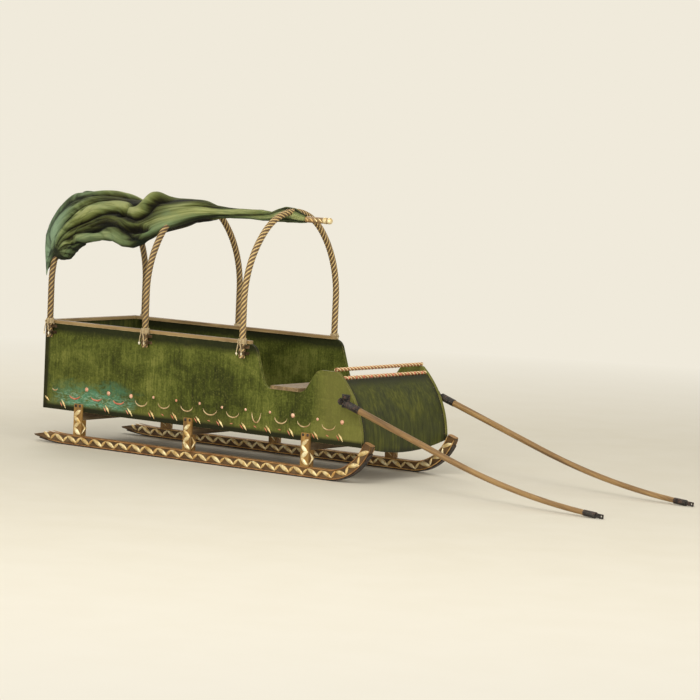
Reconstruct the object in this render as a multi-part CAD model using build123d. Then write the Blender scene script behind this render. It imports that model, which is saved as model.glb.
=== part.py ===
from build123d import *
import math
import os

# Country sleigh with a bowed canvas roof and two outer shafts that hinge on its walls.
# It stands parked on its runners with the tips of both shafts lowered to the ground.
# Lengths are in millimetres. X runs forward, Y to the left, Z up and the ground is at zero.

# Body box
body_rear = -1780
body_foot = 300
body_half_width = 590
wall_thickness = 28
wall_top = 1050
body_inner_half = body_half_width - wall_thickness

# Rounded front of the body, an arc that leaves the foot upright
nose_foot_x = 1760
nose_radius = 783
nose_angle = 50
nose_centre_x = nose_foot_x - nose_radius
nose_top_x = nose_centre_x + nose_radius * math.cos(math.radians(nose_angle))
wing_top = body_foot + nose_radius * math.sin(math.radians(nose_angle))

# Entrance cut into both walls behind the wings
entrance_rear_top_x = 600
entrance_rear_x = 715
entrance_front_x = 1130
entrance_front_top_x = 1270
entrance_sill = 700
entrance_round = 90

# Front board and the rails of the dash
board_inset = 4
front_board_thickness = 26
front_board_top = 835
apron_drop = 66
dash_rail_width = 34
dash_rail_height = 30
dash_rail_round = 8
dash_lower_x = 1517
dash_upper_x = 1457

# Rear board, corner posts, sills, floor and top rails
rear_board_thickness = 28
post_side = 45
sill_width = 50
sill_height = 50
sill_front = 1700
plank_count = 5
plank_gap = 4
plank_thickness = 22
floor_front = 1705
rail_width = 50
rail_height = 28
rail_front = 530
rail_round = 7

# Bench across the entrance
seat_rear = 788
seat_front = 1078
seat_half_width = 604
seat_thickness = 30
seat_round = 8

# Runners and their iron shoes
runner_y = 575
runner_width = 62
runner_height = 85
runner_chamfer = 14
runner_short_edge = 300
shoe_thickness = 8
shoe_width = 50
runner_flat_rear = -1440
runner_flat_front = 1420
nose_curl_radius = 480
nose_curl_angle = 70
tail_radius = 2225
tail_length = 420
tail_shoe_length = 360
shoe_curl_angle = 62
tail_tip_height = 14
tail_taper_start = -1690

# Knees and cross beams under the body
knee_places = {"rear": -1350, "middle": -95, "front": 1185}
knee_length = 90
knee_inner_y = 545
knee_outer_y = 610
knee_ear_top = 370
knee_wall_gap = 0.3
bunk_length = 80
bunk_height = 70
bunk_half_width = 590

# Bows of the roof, poles with twelve flats bent to an arch of three arcs
pole_flat_count = 12
bow_places = {"rear": -1705, "middle": -600, "front": 480}
bow_radius = 28
bow_y = 620
bow_foot = 930
bow_spring = 1394
bow_shoulder_radius = 850
bow_shoulder_angle = 45
bow_shoulder_inset = bow_shoulder_radius - bow_y
bow_crown_radius = bow_shoulder_radius - bow_shoulder_inset / math.cos(math.radians(bow_shoulder_angle))
bow_crown_z = bow_spring + bow_shoulder_inset * math.tan(math.radians(bow_shoulder_angle))
bow_shoulder_length = bow_shoulder_radius * math.radians(bow_shoulder_angle)
bow_arch_length = 2 * (bow_shoulder_length + bow_crown_radius * math.radians(90 - bow_shoulder_angle))

# Staples that hold the bows to the walls
staple_heights = (958, 1012)
staple_tall = 26
staple_gap = 0.2
staple_iron = 5
staple_foot = 24

# Ridge pole under the crowns of the bows
ridge_radius = 27.5
ridge_gap = 0.4
ridge_rear = -1750
ridge_front = 885
ridge_z = bow_crown_z + bow_crown_radius - bow_radius - ridge_gap - ridge_radius

# Canvas, pushed back over the two rear bows and rolled round the ridge pole in front of them
canvas_gap = 0.6
canvas_points = 10
canvas_edge = 0.5
canvas_seat = 10
canvas_hem_behind = 150
canvas_side_behind = 105
canvas_tail_behind = 58
canvas_tail_gap = 8
canvas_front = 572

# Shafts, their irons and the hitches on the walls
hitch_x = 1580
hitch_z = 670
hitch_plate_length = 80
hitch_plate_height = 110
hitch_plate_thickness = 8
hitch_boss_radius = 22
hitch_boss_flat_count = 8
hitch_boss_end = 629
hitch_pin_radius = 12
hitch_pin_end = 686
hitch_nut_radius = 22
hitch_nut_flat_count = 6
hitch_nut_rear = 671
hitch_nut_end = 679
shaft_y = 650
eye_radius = 30
eye_flat_count = 12
eye_length = 30
eye_clearance = 0.1
neck_width = 26
neck_height = 32
neck_end = 64
socket_end = 200
socket_wall = 4
shaft_butt_radius = 27.5
shaft_bend_radius = 22
shaft_straight_end = 1160
shaft_arc_radius = 6000
shaft_arc_angle = 13.9
tip_socket_length = 110
tip_socket_wall = 3
tip_tongue_length = 70
tip_tongue_width = 12
tip_tongue_height = 34
trace_hole_radius = 8
shaft_drop_angle = 18.18


def block(x0, x1, y0, y1, z0, z1):
    return Pos((x0 + x1) / 2, (y0 + y1) / 2, (z0 + z1) / 2) * Box(x1 - x0, y1 - y0, z1 - z0)


def side_plate(face, y0, y1):
    # A face drawn in the upright plane along the body, given its thickness from y0 to y1
    return extrude(Pos(0, y0, 0) * face, amount=y1 - y0, dir=(0, 1, 0))


def rod_along_y(x, z, radius, y0, y1):
    return Pos(x, (y0 + y1) / 2, z) * Rot(X=90) * Cylinder(radius, y1 - y0)


def flats_along_y(radius, flats, y0, y1):
    with BuildSketch(Plane.XZ) as section:
        RegularPolygon(radius, flats)
    return side_plate(section.sketch, y0, y1)


def pole_section(place, x_dir, z_dir, radius):
    with BuildSketch(Plane(place, x_dir=x_dir, z_dir=z_dir)) as section:
        RegularPolygon(radius, pole_flat_count)
    return section.sketch


def mirrored(shape):
    return mirror(shape, about=Plane.XZ)


def arc_points(centre_x, centre_z, radius, start, end):
    # Start, middle and end of an arc, with angles in degrees from the X axis
    points = []
    for angle in (start, (start + end) / 2, end):
        turn = math.radians(angle)
        points.append((centre_x + radius * math.cos(turn), centre_z + radius * math.sin(turn)))
    return points


# Body panels

def make_side():
    with BuildSketch(Plane.XZ) as profile:
        with BuildLine():
            Line((body_rear, body_foot), (body_rear, wall_top))
            FilletPolyline(
                (body_rear, wall_top),
                (entrance_rear_top_x, wall_top),
                (entrance_rear_x, entrance_sill),
                (entrance_front_x, entrance_sill),
                (entrance_front_top_x, wing_top),
                (nose_top_x, wing_top),
                radius=entrance_round,
            )
            ThreePointArc(*arc_points(nose_centre_x, body_foot, nose_radius, nose_angle, 0))
            Line((nose_foot_x, body_foot), (body_rear, body_foot))
        make_face()
    return side_plate(profile.sketch, body_inner_half, body_half_width)


def make_front_board():
    outer = nose_radius - board_inset
    inner = outer - front_board_thickness
    with BuildSketch(Plane.XZ) as profile:
        with BuildLine():
            ThreePointArc(*arc_points(nose_centre_x, body_foot, outer, 0, nose_angle))
            Line(
                arc_points(nose_centre_x, body_foot, outer, 0, nose_angle)[2],
                arc_points(nose_centre_x, body_foot, inner, 0, nose_angle)[2],
            )
            ThreePointArc(*arc_points(nose_centre_x, body_foot, inner, nose_angle, 0))
            Line((nose_centre_x + inner, body_foot), (nose_centre_x + outer, body_foot))
        make_face()
    curved = side_plate(profile.sketch, -body_inner_half, body_inner_half)
    above_board = block(
        nose_centre_x,
        nose_foot_x,
        -body_half_width,
        body_half_width,
        front_board_top,
        wing_top + front_board_thickness,
    )
    curved = curved - above_board
    with BuildSketch(Plane.YZ) as bulge:
        with BuildLine():
            Line((-body_inner_half, body_foot), (body_inner_half, body_foot))
            ThreePointArc(
                (body_inner_half, body_foot),
                (0, body_foot - apron_drop),
                (-body_inner_half, body_foot),
            )
        make_face()
    apron = extrude(bulge.sketch, amount=front_board_thickness, dir=(1, 0, 0))
    return curved + Pos(nose_centre_x + inner, 0, 0) * apron


def make_rear_board():
    return block(
        body_rear,
        body_rear + rear_board_thickness,
        -body_inner_half,
        body_inner_half,
        body_foot,
        wall_top,
    )


def make_corner_posts():
    rear = body_rear + rear_board_thickness
    floor_top = body_foot + sill_height + plank_thickness
    left = block(rear, rear + post_side, body_inner_half - post_side, body_inner_half, floor_top, wall_top)
    return Compound([left, mirrored(left)])


def make_sill():
    return block(
        body_rear + rear_board_thickness,
        sill_front,
        body_inner_half - sill_width,
        body_inner_half,
        body_foot,
        body_foot + sill_height,
    )


def make_floor():
    plank_width = (2 * body_inner_half - (plank_count - 1) * plank_gap) / plank_count
    planks = []
    for number in range(plank_count):
        edge = -body_inner_half + number * (plank_width + plank_gap)
        planks.append(block(
            body_rear + rear_board_thickness,
            floor_front,
            edge,
            edge + plank_width,
            body_foot + sill_height,
            body_foot + sill_height + plank_thickness,
        ))
    return Compound(planks)


def make_gunwale():
    rail = block(
        body_rear,
        rail_front,
        body_half_width - rail_width,
        body_half_width,
        wall_top,
        wall_top + rail_height,
    )
    return fillet(rail.edges().filter_by(Axis.X).group_by(Axis.Z)[-1], rail_round)


def make_rear_rail():
    rail = block(
        body_rear,
        body_rear + rail_width,
        rail_width - body_half_width,
        body_half_width - rail_width,
        wall_top,
        wall_top + rail_height,
    )
    return fillet(rail.edges().filter_by(Axis.Y).group_by(Axis.Z)[-1], rail_round)


def dash_rail(centre_x, bottom, half_length):
    rail = block(
        centre_x - dash_rail_width / 2,
        centre_x + dash_rail_width / 2,
        -half_length,
        half_length,
        bottom,
        bottom + dash_rail_height,
    )
    return fillet(rail.edges().filter_by(Axis.Y), dash_rail_round)


def make_dash_rails():
    lower = dash_rail(dash_lower_x, front_board_top, body_inner_half)
    upper = dash_rail(dash_upper_x, wing_top, body_half_width)
    return Compound([lower, upper])


def make_seat():
    seat = block(
        seat_rear,
        seat_front,
        -seat_half_width,
        seat_half_width,
        entrance_sill,
        entrance_sill + seat_thickness,
    )
    return fillet(seat.edges().filter_by(Axis.Y).group_by(Axis.Z)[-1], seat_round)


# Runner gear

def make_runner():
    low = shoe_thickness
    high = shoe_thickness + runner_height
    curl_z = low + nose_curl_radius
    curl_top = nose_curl_radius - runner_height
    curl_end = nose_curl_angle - 90
    tail_z = low + tail_radius
    tail_turn = math.degrees(math.asin(tail_length / tail_radius))
    lower_tail = arc_points(runner_flat_rear, tail_z, tail_radius, -90, -90 - tail_turn)
    lower_curl = arc_points(runner_flat_front, curl_z, nose_curl_radius, -90, curl_end)
    upper_curl = arc_points(runner_flat_front, curl_z, curl_top, curl_end, -90)
    tip = (lower_tail[2][0], lower_tail[2][1] + tail_tip_height)
    with BuildSketch(Plane.XZ) as profile:
        with BuildLine():
            ThreePointArc(*lower_tail)
            Line(lower_tail[2], tip)
            Line(tip, (tail_taper_start, high))
            Line((tail_taper_start, high), upper_curl[2])
            ThreePointArc(*upper_curl)
            Line(upper_curl[0], lower_curl[2])
            ThreePointArc(*lower_curl)
            Line(lower_curl[0], lower_tail[0])
        make_face()
    runner = side_plate(profile.sketch, runner_y - runner_width / 2, runner_y + runner_width / 2)
    long_edges = runner.faces().sort_by(Axis.Y)[0].edges() + runner.faces().sort_by(Axis.Y)[-1].edges()
    return chamfer(long_edges.filter_by(lambda edge: edge.length > runner_short_edge), runner_chamfer)


def make_shoe():
    low = shoe_thickness
    curl_z = low + nose_curl_radius
    curl_end = shoe_curl_angle - 90
    tail_z = low + tail_radius
    tail_turn = math.degrees(math.asin(tail_shoe_length / tail_radius))
    outer_tail = arc_points(runner_flat_rear, tail_z, tail_radius + low, -90 - tail_turn, -90)
    inner_tail = arc_points(runner_flat_rear, tail_z, tail_radius, -90, -90 - tail_turn)
    outer_curl = arc_points(runner_flat_front, curl_z, nose_curl_radius + low, -90, curl_end)
    inner_curl = arc_points(runner_flat_front, curl_z, nose_curl_radius, curl_end, -90)
    with BuildSketch(Plane.XZ) as profile:
        with BuildLine():
            ThreePointArc(*outer_tail)
            Line(outer_tail[2], outer_curl[0])
            ThreePointArc(*outer_curl)
            Line(outer_curl[2], inner_curl[0])
            ThreePointArc(*inner_curl)
            Line(inner_curl[2], inner_tail[0])
            ThreePointArc(*inner_tail)
            Line(inner_tail[2], outer_tail[0])
        make_face()
    return side_plate(profile.sketch, runner_y - shoe_width / 2, runner_y + shoe_width / 2)


def make_knee(x):
    foot = shoe_thickness + runner_height
    shoulder = body_foot - bunk_height
    rear = x - knee_length / 2
    front = x + knee_length / 2
    leg = block(rear, front, knee_inner_y, knee_outer_y, foot, shoulder)
    ear = block(rear, front, body_half_width + knee_wall_gap, knee_outer_y, shoulder, knee_ear_top)
    return leg + ear


def make_bunk(x):
    return block(
        x - bunk_length / 2,
        x + bunk_length / 2,
        -bunk_half_width,
        bunk_half_width,
        body_foot - bunk_height,
        body_foot,
    )


# Roof

def over_bow(share, offset):
    # Place across the roof at a share of the arch, 0 at the near spring and 1 at the far one
    if share > 0.5:
        y, z = over_bow(1 - share, offset)
        return -y, z
    along = share * bow_arch_length
    if along < bow_shoulder_length:
        turn = along / bow_shoulder_radius
        reach = bow_shoulder_radius + offset
        return bow_shoulder_inset - reach * math.cos(turn), bow_spring + reach * math.sin(turn)
    turn = math.radians(bow_shoulder_angle) + (along - bow_shoulder_length) / bow_crown_radius
    reach = bow_crown_radius + offset
    return -reach * math.cos(turn), bow_crown_z + reach * math.sin(turn)


def bow_solid(x, radius):
    foot = (-bow_y, bow_foot)
    bend = bow_shoulder_length / bow_arch_length
    right = [over_bow(share, 0) for share in (0, bend / 2, bend)]
    crown = [over_bow(share, 0) for share in (bend, 0.5, 1 - bend)]
    left = [over_bow(share, 0) for share in (1 - bend, 1 - bend / 2, 1)]
    with BuildLine(Plane.YZ) as path:
        Line(foot, right[0])
        ThreePointArc(*right)
        ThreePointArc(*crown)
        ThreePointArc(*left)
        Line(left[2], (bow_y, bow_foot))
    section = pole_section((0, -bow_y, bow_foot), (1, 0, 0), (0, 0, 1), radius)
    return Pos(x, 0, 0) * sweep(section, path=path.line)


def make_staples():
    # Each strap is bent round half of the bow's flats and spread into two feet on the wall
    inner = bow_radius + staple_gap
    outer = inner + staple_iron
    foot_y = body_half_width
    bend = [math.radians(360 / pole_flat_count * flat) for flat in range(pole_flat_count // 2 + 1)]
    outside = [(outer * math.cos(turn), bow_y + outer * math.sin(turn)) for turn in bend]
    inside = [(inner * math.cos(turn), bow_y + inner * math.sin(turn)) for turn in bend]
    with BuildSketch(Plane.XY) as profile:
        Polygon(
            (inner, foot_y),
            (outer + staple_foot, foot_y),
            (outer + staple_foot, foot_y + staple_iron),
            (outer, foot_y + staple_iron),
            *outside,
            (-outer, foot_y + staple_iron),
            (-outer - staple_foot, foot_y + staple_iron),
            (-outer - staple_foot, foot_y),
            (-inner, foot_y),
            *inside[::-1],
            align=None,
        )
    strap = extrude(profile.sketch, amount=staple_tall)
    straps = []
    for x in bow_places.values():
        for height in staple_heights:
            straps.append(Pos(x, 0, height) * strap)
    return Compound(straps)


def make_ridge_pole(radius):
    section = pole_section((ridge_rear, 0, ridge_z), (0, 1, 0), (1, 0, 0), radius)
    return extrude(section, amount=ridge_front - ridge_rear)


def canvas_section(x, near, far, above, below):
    # A band of the roof's arch between its two hanging edges, thinner at each edge
    middle = (above + below) / 2
    half = (above - below) / 2
    upper = []
    lower = []
    for number in range(canvas_points):
        share = near + (far - near) * number / (canvas_points - 1)
        thick = half
        if number in (0, canvas_points - 1):
            thick = half * canvas_edge
        upper.append((x, *over_bow(share, middle + thick)))
        lower.append((x, *over_bow(share, middle - thick)))
    return upper + lower[::-1]


def flat_face(*corners):
    return Face(Wire.make_polygon(corners))


def faceted(sections):
    # A closed solid through sections of like corners, with a skin of flat triangles
    faces = [flat_face(*sections[0]), flat_face(*sections[-1])]
    for rear, front in zip(sections, sections[1:]):
        for number in range(len(rear)):
            faces.append(flat_face(rear[number - 1], rear[number], front[number]))
            faces.append(flat_face(rear[number - 1], front[number], front[number - 1]))
    return Solid(Shell(faces))


def make_tilt_cover():
    rear, middle, front = bow_places.values()
    seat = bow_radius + canvas_seat
    sections = [
        # x, near and far edge as shares of the arch, height of the skins above the bow's middle line
        (rear - canvas_hem_behind, 0.270, 0.600, 48, 6),
        (rear - canvas_side_behind, 0.150, 0.720, 58, -14),
        (rear - canvas_tail_behind, 0.070, 0.782, 60, -14),
        (rear - seat - canvas_tail_gap, 0.036, 0.790, 50, -10),
        (rear - seat, 0.140, 0.792, 66, seat),
        (rear + seat, 0.148, 0.790, 68, seat),
        (-1480, 0.124, 0.765, 70, -45),
        (-1410, 0.186, 0.750, 70, -50),
        (-1200, 0.200, 0.722, 64, -55),
        (-900, 0.188, 0.682, 72, -50),
        (middle - seat, 0.258, 0.650, 66, seat),
        (middle + seat, 0.288, 0.642, 64, seat),
        (-470, 0.330, 0.625, 60, -30),
        (-390, 0.410, 0.586, 58, -90),
        (-300, 0.460, 0.540, 54, -104),
        (-200, 0.468, 0.532, 50, -104),
        (0, 0.472, 0.528, 46, -100),
        (front - seat, 0.471, 0.529, 60, -104),
        (front + seat, 0.474, 0.526, 62, -98),
        (canvas_front, 0.482, 0.518, 0, -92),
    ]
    cover = faceted([canvas_section(*row) for row in sections])
    cover = cover - make_ridge_pole(ridge_radius + canvas_gap)
    for x in bow_places.values():
        cover = cover - bow_solid(x, bow_radius + canvas_gap)
    return cover


# Shafts, drawn level and pointing forward from the hitch pin, then lowered

def lowered(shape):
    return Pos(hitch_x, shaft_y, hitch_z) * Rot(Y=shaft_drop_angle) * shape


def shaft_tip_frame():
    turn = math.radians(shaft_arc_angle)
    x = shaft_straight_end + shaft_arc_radius * math.sin(turn)
    z = shaft_arc_radius * (1 - math.cos(turn))
    return Pos(x, 0, z) * Rot(Y=-shaft_arc_angle)


def shaft_radius(x):
    taper = (shaft_butt_radius - shaft_bend_radius) / (shaft_straight_end - neck_end)
    return shaft_butt_radius - taper * (x - neck_end)


def tapered_pole(x0, x1, extra):
    ends = []
    for x in (x0, x1):
        ends.append(pole_section((x, 0, 0), (0, 1, 0), (1, 0, 0), shaft_radius(x) + extra))
    return loft(ends, ruled=True)


def make_shaft():
    straight = tapered_pole(neck_end, shaft_straight_end, 0)
    bend = arc_points(shaft_straight_end, shaft_arc_radius, shaft_arc_radius, -90, shaft_arc_angle - 90)
    with BuildLine(Plane.XZ) as path:
        ThreePointArc(*bend)
    section = pole_section((shaft_straight_end, 0, 0), (0, 1, 0), (1, 0, 0), shaft_bend_radius)
    return lowered(straight + sweep(section, path=path.line))


def make_shaft_iron():
    eye = flats_along_y(eye_radius, eye_flat_count, -eye_length / 2, eye_length / 2)
    neck = block(0, neck_end, -neck_width / 2, neck_width / 2, -neck_height / 2, neck_height / 2)
    socket = tapered_pole(neck_end - socket_wall, socket_end, socket_wall)
    wood = tapered_pole(neck_end, socket_end + socket_wall, 0)
    bore = rod_along_y(0, 0, hitch_pin_radius + eye_clearance, -eye_length, eye_length)
    return lowered(eye + neck + socket - wood - bore)


def make_shaft_tip():
    section = pole_section(
        (-tip_socket_length, 0, 0), (0, 1, 0), (1, 0, 0), shaft_bend_radius + tip_socket_wall
    )
    socket = extrude(section, amount=tip_socket_length + tip_socket_wall)
    tongue = block(
        0,
        tip_tongue_length,
        -tip_tongue_width / 2,
        tip_tongue_width / 2,
        -tip_tongue_height / 2,
        tip_tongue_height / 2,
    )
    hole = rod_along_y(
        tip_tongue_length - tip_tongue_height / 2,
        0,
        trace_hole_radius,
        -tip_tongue_width,
        tip_tongue_width,
    )
    return lowered(shaft_tip_frame() * (socket + tongue - hole)) - make_shaft()


def make_hitch():
    plate = block(
        hitch_x - hitch_plate_length / 2,
        hitch_x + hitch_plate_length / 2,
        body_half_width,
        body_half_width + hitch_plate_thickness,
        hitch_z - hitch_plate_height / 2,
        hitch_z + hitch_plate_height / 2,
    )
    boss = flats_along_y(hitch_boss_radius, hitch_boss_flat_count, body_half_width, hitch_boss_end)
    nut = flats_along_y(hitch_nut_radius, hitch_nut_flat_count, hitch_nut_rear, hitch_nut_end)
    pin = rod_along_y(hitch_x, hitch_z, hitch_pin_radius, body_half_width, hitch_pin_end)
    return plate + Pos(hitch_x, 0, hitch_z) * (boss + nut) + pin


nodes = {
    "floor_boards": make_floor(),
    "rear_board": make_rear_board(),
    "corner_posts": make_corner_posts(),
    "rear_rail": make_rear_rail(),
    "front_board": make_front_board(),
    "dash_rails": make_dash_rails(),
    "seat_board": make_seat(),
    "ridge_pole": make_ridge_pole(ridge_radius),
    "tilt_cover": make_tilt_cover(),
}

for place, x in knee_places.items():
    nodes["bunk_" + place] = make_bunk(x)
    nodes["knee_" + place + "_left"] = make_knee(x)

for place, x in bow_places.items():
    nodes["bow_" + place] = bow_solid(x, bow_radius)

nodes["side_left"] = make_side()
nodes["gunwale_left"] = make_gunwale()
nodes["sill_left"] = make_sill()
nodes["runner_left"] = make_runner()
nodes["runner_shoe_left"] = make_shoe()
nodes["bow_staples_left"] = make_staples()
nodes["hitch_plate_left"] = make_hitch()
nodes["shaft_left"] = make_shaft()
nodes["shaft_iron_left"] = make_shaft_iron()
nodes["shaft_tip_left"] = make_shaft_tip()

# Every left hand piece has a mirrored twin on the right
for name in [name for name in nodes if name.endswith("_left")]:
    nodes[name.replace("_left", "_right")] = mirrored(nodes[name])

# The origin is put on the ground under the middle of the whole sleigh and its shafts
boxes = [shape.bounding_box() for shape in nodes.values()]
rear_x = min(box.min.X for box in boxes)
front_x = max(box.max.X for box in boxes)
middle_x = (rear_x + front_x) / 2

os.makedirs("parts", exist_ok=True)
for name, shape in nodes.items():
    export_step(Pos(-middle_x, 0, 0) * shape, "parts/" + name + ".step")
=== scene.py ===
import math
import random

import bpy
from mathutils import Matrix, Vector, noise


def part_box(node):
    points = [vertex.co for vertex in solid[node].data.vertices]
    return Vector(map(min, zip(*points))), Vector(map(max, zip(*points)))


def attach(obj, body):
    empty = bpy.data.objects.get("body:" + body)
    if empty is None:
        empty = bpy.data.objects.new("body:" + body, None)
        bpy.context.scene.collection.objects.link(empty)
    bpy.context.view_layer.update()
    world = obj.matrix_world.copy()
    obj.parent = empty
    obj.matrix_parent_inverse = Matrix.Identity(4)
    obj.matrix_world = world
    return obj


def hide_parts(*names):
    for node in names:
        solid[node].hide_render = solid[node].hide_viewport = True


# Country sleigh with a bowed canvas roof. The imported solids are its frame, and each piece below
# is laid on them or stands for one, in metres: X forward, Y to the left, the ground at zero.
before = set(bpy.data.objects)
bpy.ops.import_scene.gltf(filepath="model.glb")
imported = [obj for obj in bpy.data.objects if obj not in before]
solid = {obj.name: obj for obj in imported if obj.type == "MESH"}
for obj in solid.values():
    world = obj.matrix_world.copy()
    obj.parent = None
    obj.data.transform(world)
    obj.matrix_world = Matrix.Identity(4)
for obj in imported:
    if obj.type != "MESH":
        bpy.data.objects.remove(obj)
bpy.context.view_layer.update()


# Runners: two bent ash beams stained dark brown. A chain of long and short strokes is carved along
# both faces of each, like a flat rope, and gilded. A flat iron shoe is nailed under them.

def tint(code):
    """Linear colour of a tint written as it is seen, such as #8a6f3c."""
    seen = [int(code[i:i + 2], 16) / 255 for i in (1, 3, 5)]
    return [v / 12.92 if v < 0.0405 else ((v + 0.055) / 1.055) ** 2.4 for v in seen] + [1.0]


def fill(tree, node, inputs):
    """Wires each input of a node to a socket, or sets it to a value."""
    for plug, value in inputs.items():
        if isinstance(value, bpy.types.NodeSocket):
            tree.links.new(value, node.inputs[plug])
        else:
            node.inputs[plug].default_value = value
    return node


def put(tree, kind, inputs=None, **settings):
    """Adds a node with its settings and its inputs."""
    node = tree.nodes.new(kind)
    for name, value in settings.items():
        setattr(node, name, value)
    return fill(tree, node, inputs or {})


def out(tree, kind, inputs=None, **settings):
    """Adds a node and gives its first output."""
    return put(tree, kind, inputs, **settings).outputs[0]


def maths(operation, *values):
    """Reckons with sockets and numbers, in the tree that the sockets belong to."""
    tree = next(value.id_data for value in values if isinstance(value, bpy.types.NodeSocket))
    return out(tree, "ShaderNodeMath", dict(enumerate(values)), operation=operation)


def times(value, factor):
    return maths("MULTIPLY", value, factor)


def plus(value, more):
    return maths("ADD", value, more)


def axis(vector, name):
    return put(vector.id_data, "ShaderNodeSeparateXYZ", {0: vector}).outputs[name]


def spread(value, low, high, start=0.0, end=1.0):
    """Stretches a value from low..high to start..end, and stops there."""
    return out(value.id_data, "ShaderNodeMapRange", {0: value, 1: low, 2: high, 3: start, 4: end})


def mixed(share, under, over):
    """Lays one colour over another; each is a socket or a written tint."""
    under, over = [tint(colour) if isinstance(colour, str) else colour for colour in (under, over)]
    inputs = {0: share, 6: under, 7: over}
    return put(share.id_data, "ShaderNodeMix", inputs, data_type="RGBA").outputs[2]


def layered(colour, *coats):
    """Lays coats over a colour, each given by its share and its tint."""
    for share, coat in coats:
        colour = mixed(share, colour, coat)
    return colour


def shades(value, *stops):
    """Colours along a value, from stops of position and tint."""
    node = put(value.id_data, "ShaderNodeValToRGB", {0: value})
    bar = node.color_ramp.elements
    bar[0].position, bar[0].color = stops[0][0], tint(stops[0][1])
    bar[1].position, bar[1].color = stops[-1][0], tint(stops[-1][1])
    for at, code in stops[1:-1]:
        bar.new(at).color = tint(code)
    return node.outputs[0]


def stretched(place, x, y, z):
    inputs = {0: place, 1: (x, y, z)}
    return out(place.id_data, "ShaderNodeVectorMath", inputs, operation="MULTIPLY")


def specks(place, scale, detail=3.0, rough=0.55, twist=0.0):
    """Soft random pattern over a place on the piece."""
    inputs = {
        "Vector": place, "Scale": scale, "Detail": detail, "Roughness": rough, "Distortion": twist,
    }
    return put(place.id_data, "ShaderNodeTexNoise", inputs).outputs["Fac"]


def effect(name, inputs, outputs):
    """Starts a shared effect, a shader group with named inputs and value outputs."""
    group = bpy.data.node_groups.new(name, "ShaderNodeTree")
    for label, start in inputs.items():
        kind = "NodeSocketVector" if start is None else "NodeSocketFloat"
        socket = group.interface.new_socket(label, in_out="INPUT", socket_type=kind)
        if start is not None:
            socket.default_value = start
    for label in outputs:
        group.interface.new_socket(label, in_out="OUTPUT", socket_type="NodeSocketFloat")
    given = group.nodes.new("NodeGroupInput").outputs
    result = group.nodes.new("NodeGroupOutput").inputs
    return group, given, result


def wood_grain():
    """Long figure and fine fibres that run along X."""
    group, given, result = effect("wood grain", {"Place": None, "Coarse": 1.0}, ["Figure", "Fibre"])
    scaled = {0: given["Place"], 3: given["Coarse"]}
    place = out(group, "ShaderNodeVectorMath", scaled, operation="SCALE")
    figure = specks(stretched(place, 1.7, 22, 22), 1.0, 5.0, 0.62, 0.7)
    fibre = specks(stretched(place, 9, 300, 300), 1.0, 3.0, 0.6)
    group.links.new(figure, result["Figure"])
    group.links.new(fibre, result["Fibre"])
    return group


def edge_wear():
    """Where an edge is rubbed: a bevelled normal leaves the face's own there."""
    inputs = {"Place": None, "Reach": 0.004, "Patch": 18.0}
    group, given, result = effect("edge wear", inputs, ["Worn"])
    soft = out(group, "ShaderNodeBevel", {"Radius": given["Reach"]}, samples=6)
    face = put(group, "ShaderNodeNewGeometry").outputs["Normal"]
    agree = put(group, "ShaderNodeVectorMath", {0: soft, 1: face}, operation="DOT_PRODUCT")
    edge = spread(agree.outputs["Value"], 0.995, 0.93)
    patch = spread(specks(given["Place"], given["Patch"], 5.0, 0.7), 0.42, 0.6)
    group.links.new(times(edge, patch), result["Worn"])
    return group


def ground_dirt():
    """Dry mud and salt that splash the lower parts, thinning upwards."""
    group, given, result = effect("ground dirt", {"Place": None, "Up to": 0.5}, ["Dirt"])
    height = axis(given["Place"], "Z")
    low = spread(height, given["Up to"], 0.0)
    splash = spread(specks(given["Place"], 14.0, 6.0, 0.7), 0.45, 0.72)
    group.links.new(times(low, splash), result["Dirt"])
    return group


grain_effect = wood_grain()
wear_effect = edge_wear()
dirt_effect = ground_dirt()


def worn(place, reach=0.004):
    """Where the edge wear lies on a material's surface."""
    inputs = {"Place": place, "Reach": reach}
    return out(place.id_data, "ShaderNodeGroup", inputs, node_tree=wear_effect)


def start_finish(name):
    """Starts a material and gives it with the place on the piece."""
    finish = bpy.data.materials.new(name)
    finish.use_nodes = True
    return finish, put(finish.node_tree, "ShaderNodeTexCoord").outputs["Object"]


def finished(finish, looks, height, depth, strength=1.0):
    """Gives a material's shader its looks and its relief."""
    tree = finish.node_tree
    bump = out(tree, "ShaderNodeBump", {"Height": height, "Distance": depth, "Strength": strength})
    fill(tree, tree.nodes["Principled BSDF"], {**looks, "Normal": bump})
    return finish


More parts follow.
